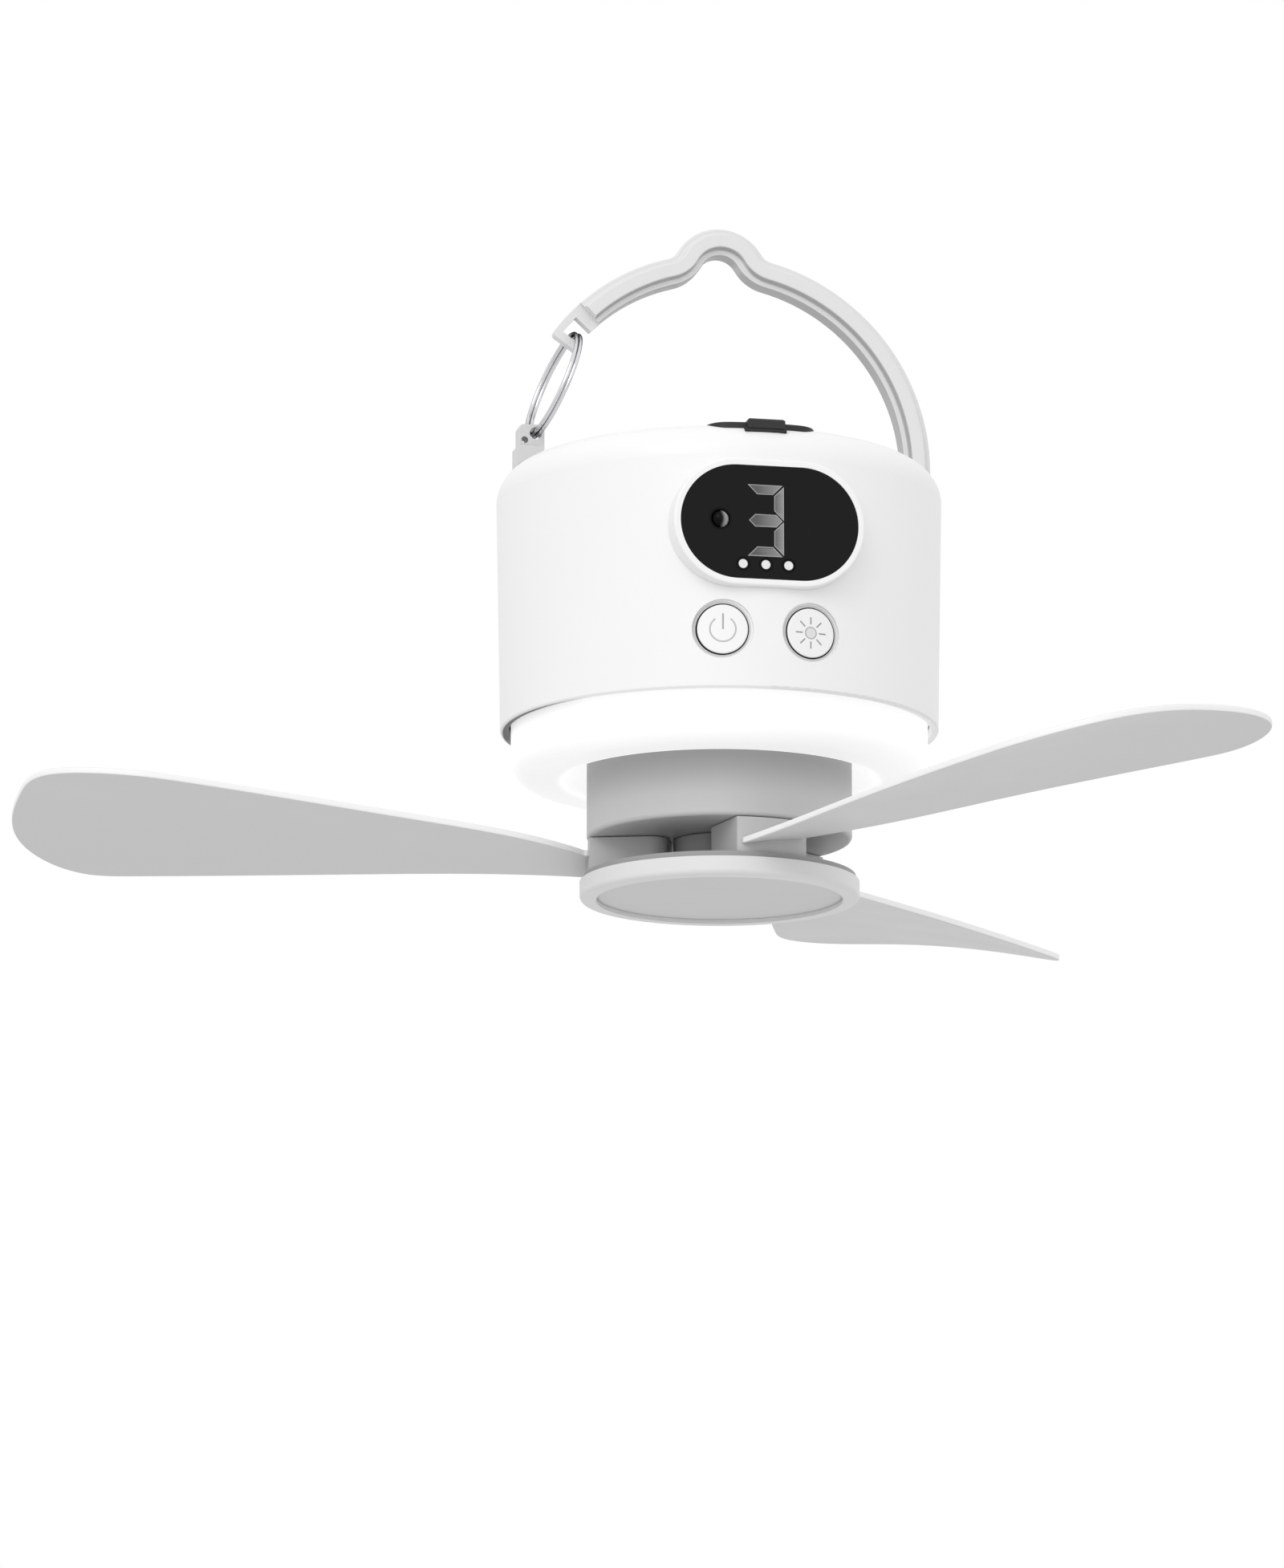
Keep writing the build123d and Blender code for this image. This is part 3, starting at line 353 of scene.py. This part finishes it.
def litOpal():
    # opal polycarbonate lit from behind: an even glow that dims a little toward the outer corner
    material, tree, shader = startMaterial("litOpalPolycarbonate")
    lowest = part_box("lamp_diffuser")[0][2]
    place = addNode(tree, "ShaderNodeTexCoord")
    mottle = addNode(tree, "ShaderNodeTexNoise",
                     inputs={"Scale": 1 / (lamp["mottleMm"] * mm), "Detail": 1.0},
                     links={"Vector": (place, "Object")})
    split = addNode(tree, "ShaderNodeSeparateXYZ", links={"Vector": (place, "Object")})
    height = addNode(tree, "ShaderNodeMapRange", {"interpolation_type": "SMOOTHSTEP"},
                     {"From Min": lowest, "From Max": lowest + lamp["dimMm"] * mm,
                      "To Min": lamp["dimGain"], "To Max": 1.0},
                     {"Value": (split, "Z")})
    even = addNode(tree, "ShaderNodeMapRange",
                   inputs={"To Min": lamp["mottleGain"][0], "To Max": lamp["mottleGain"][1]},
                   links={"Value": (mottle, "Fac")})
    wall = patchMask(tree, place, {"middle": (0, 0, 0), "along": "Z", "reachMm": lamp["holeMm"],
                                   "softMm": lamp["holeSoftMm"]})
    hole = addNode(tree, "ShaderNodeMapRange", inputs={"To Min": 1.0, "To Max": lamp["holeGain"]},
                   links={"Value": (wall, 0)})
    glow = addNode(tree, "ShaderNodeMath", {"operation": "MULTIPLY"},
                   links={0: (height, 0), 1: (even, 0)})
    glow = addNode(tree, "ShaderNodeMath", {"operation": "MULTIPLY"},
                   links={0: (glow, 0), 1: (hole, 0)})
    strength = addNode(tree, "ShaderNodeMath", {"operation": "MULTIPLY"}, {1: lamp["strength"]},
                       {0: (glow, 0)})
    tree.links.new(strength.outputs[0], shader.inputs["Emission Strength"])
    shader.inputs["Emission Color"].default_value = linear(lamp["glow"])
    shader.inputs["Base Color"].default_value = linear(lamp["body"])
    shader.inputs["Roughness"].default_value = 0.5
    shader.inputs["IOR"].default_value = 1.58
    return material


display = {
    "window": "#171717", "shadow": "#050505",
    "windowGloss": (0.16, 0.24), "waveMm": 9,
    "dotHaloMm": 2.05, "sensorHaloMm": 3.1, "haloSoftMm": 0.3,
    "barDark": "#565656", "barLight": "#969696", "barEdge": "#A2A2A2",
    "barMm": 2.7, "uprightMm": 2.295,   # a bar's width, and from the middle line to the upright ones
    "brushMm": (8, 8, 0.35),            # size of a brush mark along X, Y and Z
    "brushShare": 0.35, "barShade": (0.1, 1.25),
    "edgeMm": 0.2, "edgeProudMm": 0.03,
    "dotRim": "#161616", "dotFace": "#B8B8B8", "dotGlow": (0.24, 0.36),
    "dotFaceMm": 1.24, "dotSoftMm": 0.08, "hazeMm": 0.9,
    "sensor": "#040404", "sensorHighlight": "#A2A2A2",
    "sensorGloss": (0.2, 0.3), "swirlMm": 1.5,
    "darkCoreMm": (-1.3, 0, -0.2), "darkCoreReachMm": 2.1, "darkCoreSoftMm": 0.9,   # dark core that the painted highlight curves round, from the middle
    "highlightMm": (-0.3, 1.2),              # along X from the middle, where the painted highlight fades in
}


def pipeMiddles():
    # fronts of the three light pipes, which stand side by side along X
    low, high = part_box("indicator_lights")
    toOuter = (high[0] - low[0]) / 2 - (high[2] - low[2]) / 2
    return [frontMiddle("indicator_lights") + Vector((side * toOuter, 0, 0)) for side in (-1, 0, 1)]


def smokedAcrylic():
    # polished tinted window, drawn darker round each light pipe; round the sensor the darker ring is
    # painted shade of its socket
    material, tree, shader = startMaterial("smokedAcrylic")
    place = addNode(tree, "ShaderNodeTexCoord")
    spots = [(middle, display["dotHaloMm"]) for middle in pipeMiddles()]
    spots.append((frontMiddle("ir_sensor"), display["sensorHaloMm"]))
    halos = spotsMask(tree, place, spots, display["haloSoftMm"])
    shade = addNode(tree, "ShaderNodeMix", {"data_type": "RGBA"},
                    {6: linear(display["window"]), 7: linear(display["shadow"])}, {0: (halos, 0)})
    wave = addNode(tree, "ShaderNodeTexNoise",
                   inputs={"Scale": 1 / (display["waveMm"] * mm), "Detail": 1.0},
                   links={"Vector": (place, "Object")})
    gloss = addNode(tree, "ShaderNodeMapRange",
                    inputs={"To Min": display["windowGloss"][0], "To Max": display["windowGloss"][1]},
                    links={"Value": (wave, "Fac")})
    tree.links.new(shade.outputs[2], shader.inputs["Base Color"])
    tree.links.new(gloss.outputs["Result"], shader.inputs["Roughness"])
    shader.inputs["IOR"].default_value = 1.49
    shader.inputs["Specular IOR Level"].default_value = 0.10
    return material


def brushedBars():
    # digit's bars behind the window: foil brushed along X, each bar drawn darker toward its left end as
    # painted shade
    material, tree, shader = startMaterial("brushedBarFoil")
    low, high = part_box("display_digit")
    bar, quarter = display["barMm"] * mm, (high[2] - low[2]) / 4
    place = addNode(tree, "ShaderNodeTexCoord")
    brush = addNode(tree, "ShaderNodeMapping",
                    inputs={"Scale": [1 / (size * mm) for size in display["brushMm"]]},
                    links={"Vector": (place, "Object")})
    hair = addNode(tree, "ShaderNodeTexNoise", inputs={"Scale": 1.0, "Detail": 2.0},
                   links={"Vector": (brush, 0)})
    split = addNode(tree, "ShaderNodeSeparateXYZ", links={"Vector": (place, "Object")})
    lying = addNode(tree, "ShaderNodeMapRange",
                    inputs={"From Min": low[0] + bar, "From Max": high[0]},
                    links={"Value": (split, "X")})
    standing = addNode(tree, "ShaderNodeMapRange",
                       inputs={"From Min": high[0] - bar, "From Max": high[0]},
                       links={"Value": (split, "X")})
    fromMiddle = addNode(tree, "ShaderNodeMath", {"operation": "SUBTRACT"},
                         {1: (low[2] + high[2]) / 2}, {0: (split, "Z")})
    height = addNode(tree, "ShaderNodeMath", {"operation": "ABSOLUTE"}, links={0: (fromMiddle, 0)})
    upright = addNode(tree, "ShaderNodeMath", {"operation": "COMPARE"},
                      {1: quarter, 2: quarter - display["uprightMm"] * mm}, {0: (height, 0)})
    side = addNode(tree, "ShaderNodeMix", {"data_type": "FLOAT"},
                   links={0: (upright, 0), 2: (lying, 0), 3: (standing, 0)})
    mixed = addNode(tree, "ShaderNodeMath", {"operation": "MULTIPLY_ADD"},
                    {1: display["brushShare"]}, {0: (hair, "Fac"), 2: (side, 0)})
    clear = addNode(tree, "ShaderNodeMapRange",
                    inputs={"From Min": display["barShade"][0], "From Max": display["barShade"][1]},
                    links={"Value": (mixed, 0)})
    shade = addNode(tree, "ShaderNodeMix", {"data_type": "RGBA"},
                    {6: linear(display["barDark"]), 7: linear(display["barLight"])}, {0: (clear, 0)})
    tree.links.new(shade.outputs[2], shader.inputs["Base Color"])
    shader.inputs["Roughness"].default_value = 0.45
    shader.inputs["Specular IOR Level"].default_value = 0.2
    return material


def paintedLine(name, colour):
    # pad-printed ink: thin, satin, a little uneven in thickness; the digit's bright edge uses it as
    # painted highlight
    material, tree, shader = startMaterial(name)
    unevenMm, unevenness = 0.8, 0.06
    place = addNode(tree, "ShaderNodeTexCoord")
    thick = addNode(tree, "ShaderNodeTexNoise", inputs={"Scale": 1 / (unevenMm * mm), "Detail": 2.0},
                    links={"Vector": (place, "Object")})
    darker, paler = unevenly(colour, unevenness)
    shade = addNode(tree, "ShaderNodeMix", {"data_type": "RGBA"}, {6: darker, 7: paler},
                    {0: (thick, "Fac")})
    tree.links.new(shade.outputs[2], shader.inputs["Base Color"])
    shader.inputs["Roughness"].default_value = 0.5
    return material


def lightPipe():
    # clear acrylic rod, lit from the board behind it: a pale face inside a dark rim
    material, tree, shader = startMaterial("litLightPipe")
    place = addNode(tree, "ShaderNodeTexCoord")
    haze = addNode(tree, "ShaderNodeTexNoise",
                   inputs={"Scale": 1 / (display["hazeMm"] * mm), "Detail": 1.0},
                   links={"Vector": (place, "Object")})
    glow = addNode(tree, "ShaderNodeMapRange",
                   inputs={"To Min": display["dotGlow"][0], "To Max": display["dotGlow"][1]},
                   links={"Value": (haze, "Fac")})
    spots = [(middle, display["dotFaceMm"]) for middle in pipeMiddles()]
    faces = spotsMask(tree, place, spots, display["dotSoftMm"])
    inside = addNode(tree, "ShaderNodeMath", {"operation": "MULTIPLY"},
                     links={0: (faces, 0), 1: (glow, 0)})
    shade = addNode(tree, "ShaderNodeMix", {"data_type": "RGBA"},
                    {6: linear(display["dotRim"]), 7: linear(display["dotFace"])}, {0: (faces, 0)})
    tree.links.new(inside.outputs[0], shader.inputs["Emission Strength"])
    tree.links.new(shade.outputs[2], shader.inputs["Base Color"])
    shader.inputs["Emission Color"].default_value = linear("#FFFFFF")
    shader.inputs["Roughness"].default_value = 0.3
    shader.inputs["IOR"].default_value = 1.49
    return material


def sensorDome():
    # infrared-clear polycarbonate, black to the eye, with a painted highlight curving round its right
    # side
    material, tree, shader = startMaterial("infraredPolycarbonate")
    middle = frontMiddle("ir_sensor")
    place = addNode(tree, "ShaderNodeTexCoord")
    swirl = addNode(tree, "ShaderNodeTexNoise",
                    inputs={"Scale": 1 / (display["swirlMm"] * mm), "Detail": 1.0},
                    links={"Vector": (place, "Object")})
    gloss = addNode(tree, "ShaderNodeMapRange",
                    inputs={"To Min": display["sensorGloss"][0], "To Max": display["sensorGloss"][1]},
                    links={"Value": (swirl, "Fac")})
    away = patchMask(tree, place, {"middle": middle + Vector(display["darkCoreMm"]) * mm, "along": "Y",
                                   "reachMm": display["darkCoreReachMm"], "softMm": display["darkCoreSoftMm"],
                                   "outside": True})
    split = addNode(tree, "ShaderNodeSeparateXYZ", links={"Vector": (place, "Object")})
    right = addNode(tree, "ShaderNodeMapRange", {"interpolation_type": "SMOOTHSTEP"},
                    {"From Min": middle.x + display["highlightMm"][0] * mm,
                     "From Max": middle.x + display["highlightMm"][1] * mm},
                    {"Value": (split, "X")})
    highlightSeen = addNode(tree, "ShaderNodeMath", {"operation": "MULTIPLY"},
                        links={0: (away, 0), 1: (right, 0)})
    shade = addNode(tree, "ShaderNodeMix", {"data_type": "RGBA"},
                    {6: linear(display["sensor"]), 7: linear(display["sensorHighlight"])},
                    {0: (highlightSeen, 0)})
    tree.links.new(shade.outputs[2], shader.inputs["Base Color"])
    tree.links.new(gloss.outputs["Result"], shader.inputs["Roughness"])
    shader.inputs["Specular IOR Level"].default_value = 0.08
    shader.inputs["IOR"].default_value = 1.58
    return material


finishes = {slot: mouldedPlastic(look, patches.get(slot, ())) for slot, look in plastics.items()}
finishes.update({slot: workedMetal(look) for slot, look in metals.items()})
finishes["ring_chrome"] = platedWire()
finishes["lamp_diffuser"] = litOpal()
finishes["display_black"] = smokedAcrylic()
finishes["digit_grey"] = brushedBars()
finishes["indicator_light"] = lightPipe()
finishes["sensor_black"] = sensorDome()
for node, key in keys.items():
    finishes[node] = mouldedPlastic(plastics["button_white"] | {"name": key["finish"]}, patches[node])

# Nodes that look unlike the others of their slot, the two keys among them; the hub's darker grey is
# painted shade.
ownFinish = {"cap_disc": "capDisc", "ring_anchor": "anchor", "rotor_hub": "hub"}
ownFinish.update({node: node for node in keys})
for entry in frame["record"]["subparts"]:
    materials = nodes[entry["node"]].data.materials
    materials.clear()
    materials.append(finishes[ownFinish.get(entry["node"], entry["material_slot"])])
print("materials on", len(nodes), "nodes")


def newPiece(name, build, material, body):
    # makes the finished bmesh a piece that rides on a body
    bmesh.ops.recalc_face_normals(build, faces=build.faces[:])
    mesh = bpy.data.meshes.new(name)
    build.to_mesh(mesh)
    build.free()
    mesh.materials.append(material)
    piece = bpy.data.objects.new(name, mesh)
    bpy.context.scene.collection.objects.link(piece)
    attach(piece, body)


def surfaceOf(node):
    mesh = nodes[node].data
    return BVHTree.FromPolygons([v.co for v in mesh.vertices], [p.vertices for p in mesh.polygons])


def joinSections(build, sections, closed):
    # skin over a row of four-cornered sections, capped at both ends where the row isn't closed
    pairs = list(zip(sections, sections[1:])) + ([(sections[-1], sections[0])] if closed else [])
    for a, b in pairs:
        for k in range(4):
            build.faces.new((a[k], b[k], b[(k + 1) % 4], a[(k + 1) % 4]))
    if not closed:
        build.faces.new(sections[0])
        build.faces.new(list(reversed(sections[-1])))


# Signs printed on the two keys, in mm from the key's middle.
signs = {
    "proudMm": 0.03, "faceProudMm": 0.018, "sinkMm": 0.08,
    "probeMm": 10,                      # how far in front of the key its surface is looked for
    "power": {"lineMm": 0.44, "radius": 3.5, "gap": 36, "barLow": -0.1, "barHigh": 4.35,
              "colour": "#BDBDBD", "barColour": "#A6A6A6"},
    "sun": {"rays": 8, "rayMm": 0.374, "rayLow": 2.4, "rayHigh": 4.4,
            "radius": 1.6, "rimMm": 0.3, "faceRadius": 1.5,
            "colour": "#939393", "faceColour": "#DEDEDE", "rimColour": "#ACACAC"},
}


def arcPoints(radius, start, end, steps=48):
    angles = [math.radians(start + (end - start) * i / steps) for i in range(steps + 1)]
    return [(radius * math.cos(a), radius * math.sin(a)) for a in angles]


def printOnKey(name, node, material, strokes=(), width=0, outlines=()):
    # ink lines and filled outlines, laid on the key's curved face
    surface = surfaceOf(node)
    middle = keys[node]["middle"]

    def onFace(x, z, lift):
        start = Vector((middle.x + x * mm, middle.y - signs["probeMm"] * mm, middle.z + z * mm))
        hit = surface.ray_cast(start, Vector((0, 1, 0)))[0]
        return Vector((hit.x, hit.y - lift * mm, hit.z))

    build = bmesh.new()
    for stroke in strokes:
        closed = (Vector(stroke[0]) - Vector(stroke[-1])).length < 0.001
        points = [Vector(p) for p in (stroke[:-1] if closed else stroke)]
        sections = []
        for i, point in enumerate(points):
            before = points[i - 1] if closed or i else point
            after = points[(i + 1) % len(points)] if closed or i < len(points) - 1 else point
            ahead = (after - before).normalized()
            out = Vector((-ahead.y, ahead.x)) * width / 2
            corners = ((1, signs["proudMm"]), (-1, signs["proudMm"]),
                       (-1, -signs["sinkMm"]), (1, -signs["sinkMm"]))
            sections.append([build.verts.new(onFace(*(point + turn * out), lift))
                             for turn, lift in corners])
        joinSections(build, sections, closed)
    for outline in outlines:
        lifts = (signs["faceProudMm"], -signs["sinkMm"])
        front, back = [[build.verts.new(onFace(x, z, lift)) for x, z in outline] for lift in lifts]
        hub = [build.verts.new(onFace(0, 0, lift)) for lift in lifts]
        for i in range(len(front)):
            j = (i + 1) % len(front)
            build.faces.new((front[j], front[i], back[i], back[j]))
            build.faces.new((front[i], front[j], hub[0]))
            build.faces.new((back[j], back[i], hub[1]))
    newPiece(name, build, material, keys[node]["body"])


def printKeySigns():
    power, sun = signs["power"], signs["sun"]
    arc = arcPoints(power["radius"], 90 + power["gap"], 450 - power["gap"])
    printOnKey("powerArc", "power_button", paintedLine("inkPaleGrey", power["colour"]),
               [arc], power["lineMm"])
    bar = [(0, power["barLow"]), (0, power["barHigh"])]
    printOnKey("powerBar", "power_button", paintedLine("inkMidGrey", power["barColour"]),
               [bar], power["lineMm"])
    rays = []
    for i in range(sun["rays"]):
        turn = 2 * math.pi * i / sun["rays"]
        rays.append([(r * math.cos(turn), r * math.sin(turn)) for r in (sun["rayLow"], sun["rayHigh"])])
    printOnKey("sunRays", "light_button", paintedLine("inkDarkGrey", sun["colour"]),
               rays, sun["rayMm"])
    rim = arcPoints(sun["radius"], 0, 360)
    printOnKey("sunRim", "light_button", paintedLine("inkRimGrey", sun["rimColour"]),
               [rim], sun["rimMm"])
    face = arcPoints(sun["faceRadius"], 0, 360)[:-1]
    printOnKey("sunFace", "light_button", paintedLine("inkFaintGrey", sun["faceColour"]),
               outlines=[face])


printKeySigns()
print("signs on the keys")


def bendTheRing():
    # two flat turns of wire side by side, with the step between them where real split rings have it
    middle = Vector((ring["middle"][0], 0, ring["middle"][1])) * mm
    lean = math.radians(ring["lean"])
    up = Vector((math.cos(lean), 0, math.sin(lean)))
    twist = math.radians(ring["twist"])
    flatAxis = Vector((math.sin(lean), 0, -math.cos(lean)))
    across = Vector((0, math.cos(twist), 0)) - flatAxis * math.sin(twist)
    axis = flatAxis * math.cos(twist) + Vector((0, math.sin(twist), 0))
    flatTurn = 360 - ring["jogTurn"]
    first = ring["jogStart"] + ring["jogTurn"]
    curve = bpy.data.curves.new("splitRingWire", "CURVE")
    curve.dimensions = "3D"
    spline = curve.splines.new("POLY")
    spline.points.add(ring["points"])
    for i, point in enumerate(spline.points):
        turned = i / ring["points"] * (360 + flatTurn)
        step = min(max((turned - flatTurn) / ring["jogTurn"], 0), 1)
        side = (step * step * (3 - 2 * step) - 0.5) * ring["pitchMm"] * mm
        angle = math.radians(first + turned)
        outward = across * math.cos(angle) + up * math.sin(angle)
        point.co = (*(middle + outward * ring["radius"] * mm + axis * side), 1)
    spline.use_smooth = True
    curve.bevel_depth = ring["wireMm"] / 2 * mm
    curve.bevel_resolution = 5
    curve.use_fill_caps = True
    wire = bpy.data.objects.new("splitRingWire", curve)
    bpy.context.scene.collection.objects.link(wire)
    curve.materials.append(finishes["ring_chrome"])
    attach(wire, "ring")
    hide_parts("split_ring")


bendTheRing()
print("split ring bent")

# Radii from the key's middle, and depths below the floor of its recess.
shadeRing = {
    "innerMm": 6.99, "outerMm": 7.23, "frontMm": 0.25, "depthMm": 1.6, "sides": 72,
    "probeMm": (7.6, 100),      # where the floor is looked for: from the key's middle, and in front
}


def fitKeyShadeRings():
    # painted shade: thin black rings that fill the gap round each key, standing in for its shadow
    surface = surfaceOf("body_shell")
    beside, inFront = (size * mm for size in shadeRing["probeMm"])
    for key in keys.values():
        build = bmesh.new()
        sections = []
        for i in range(shadeRing["sides"]):
            turn = 2 * math.pi * i / shadeRing["sides"]
            outward = Vector((math.cos(turn), 0, math.sin(turn)))
            probe = key["middle"] + outward * beside - Vector((0, inFront, 0))
            floorY = surface.ray_cast(probe, Vector((0, 1, 0)))[0].y - key["middle"].y
            corners = [(shadeRing["innerMm"], shadeRing["frontMm"]), (shadeRing["outerMm"], shadeRing["frontMm"]),
                       (shadeRing["outerMm"], shadeRing["depthMm"]), (shadeRing["innerMm"], shadeRing["depthMm"])]
            sections.append([build.verts.new(key["middle"] + outward * radius * mm
                                             + Vector((0, floorY + below * mm, 0)))
                             for radius, below in corners])
        joinSections(build, sections, closed=True)
        newPiece(key["shadeRing"], build, finishes["keySeal"], "housing")


fitKeyShadeRings()
print("key shadeRings fitted")


def edgeTheDigit():
    # painted highlight: a bright edge round each bar of the digit, cut from the bars' own front faces
    weldMm, frontFacing, flatWithin = 0.001, -0.9, math.radians(1)
    build = bmesh.new()
    build.from_mesh(nodes["display_digit"].data)
    bmesh.ops.remove_doubles(build, verts=build.verts[:], dist=weldMm * mm)
    others = [face for face in build.faces if face.normal.y > frontFacing]
    bmesh.ops.delete(build, geom=others, context="FACES")
    bmesh.ops.dissolve_limit(build, angle_limit=flatWithin, verts=build.verts[:], edges=build.edges[:])
    inner = build.faces[:]
    edges = bmesh.ops.inset_individual(build, faces=inner, thickness=display["edgeMm"] * mm,
                                       use_even_offset=True)
    bmesh.ops.delete(build, geom=[face for face in inner if face.is_valid], context="FACES")
    rims = [face for face in edges["faces"] if face.is_valid]
    grown = bmesh.ops.extrude_face_region(build, geom=rims)
    moved = [item for item in grown["geom"] if isinstance(item, bmesh.types.BMVert)]
    bmesh.ops.translate(build, verts=moved, vec=(0, -display["edgeProudMm"] * mm, 0))
    # extruding leaves the faces in another order each run, so they are sorted by their corners
    build.verts.index_update()
    count = len(build.verts)
    build.faces.sort(key=lambda face: sum(v.index * count ** k for k, v in enumerate(face.verts)))
    newPiece("digitEdges", build, paintedLine("digitEdgeHighlight", display["barEdge"]), "housing")


edgeTheDigit()
print("digit edged")

studio = {
    "floorZ": -3.0, "floorSize": 80, "floor": "#ECECEC",
    "white": "#FFFFFF", "ambient": 0.90, "background": 1.0,
    "aim": (0, 0, -0.1),
    "boxes": {                          # place, size across and power of each round soft box
        "keyLight": ((-1.2, -1.8, 1.3), 1.6, 14.0),
        "frontLight": ((-0.5, -2.6, 0.2), 1.6, 4.0),
    },
}


def stageAndLight():
    bpy.ops.mesh.primitive_plane_add(size=studio["floorSize"], location=(0, 0, studio["floorZ"]))
    floor = bpy.context.object
    floor.name = "paleFloor"
    material, tree, shader = startMaterial("paleFloorPaint")
    shader.inputs["Base Color"].default_value = linear(studio["floor"])
    shader.inputs["Roughness"].default_value = 0.9
    floor.data.materials.append(material)

    world = bpy.data.worlds.new("studio")
    bpy.context.scene.world = world
    world.use_nodes = True
    tree = world.node_tree
    tree.nodes.clear()
    rays = addNode(tree, "ShaderNodeLightPath")
    seen = addNode(tree, "ShaderNodeMath", {"operation": "MAXIMUM"},
                   links={0: (rays, "Is Camera Ray"), 1: (rays, "Is Glossy Ray")})
    seen = addNode(tree, "ShaderNodeMath", {"operation": "MAXIMUM"},
                   links={0: (seen, 0), 1: (rays, "Is Transmission Ray")})
    light = addNode(tree, "ShaderNodeBackground",
                    inputs={"Color": linear(studio["white"]), "Strength": studio["ambient"]})
    white = addNode(tree, "ShaderNodeBackground",
                    inputs={"Color": linear(studio["white"]), "Strength": studio["background"]})
    mixed = addNode(tree, "ShaderNodeMixShader", links={0: (seen, 0), 1: (light, 0), 2: (white, 0)})
    addNode(tree, "ShaderNodeOutputWorld", links={"Surface": (mixed, 0)})

    for name, (place, size, watts) in studio["boxes"].items():
        data = bpy.data.lights.new(name, "AREA")
        data.shape = "DISK"
        data.size = size
        data.energy = watts
        box = bpy.data.objects.new(name, data)
        box.location = place
        toward = Vector(studio["aim"]) - Vector(place)
        box.rotation_euler = toward.to_track_quat("-Z", "Y").to_euler()
        bpy.context.scene.collection.objects.link(box)


def aimCamera():
    view = {
        "distance": 2.260, "yaw": 12.6, "eyeZ": -0.6156,    # from the fan's axis, metres and degrees
        "pitch": 11.7133, "turn": -0.5516,                  # aim up, and to the left of the axis
        "lens": 230.0, "sensor": 36.0,
        "reach": 60,                                        # how far it sees, metres
    }
    data = bpy.data.cameras.new("fanCamera")
    data.sensor_fit = "HORIZONTAL"
    data.sensor_width = view["sensor"]
    data.lens = view["lens"]
    data.clip_end = view["reach"]
    camera = bpy.data.objects.new("fanCamera", data)
    yaw, away = math.radians(view["yaw"]), view["distance"]
    camera.location = (-away * math.sin(yaw), -away * math.cos(yaw), view["eyeZ"])
    heading = math.radians(-view["yaw"] - view["turn"])
    camera.rotation_euler = (math.radians(90 + view["pitch"]), 0, heading)
    bpy.context.scene.collection.objects.link(camera)
    bpy.context.scene.camera = camera


stageAndLight()
aimCamera()
bpy.context.scene.view_settings.view_transform = "Standard"
print("stage, light and camera ready")
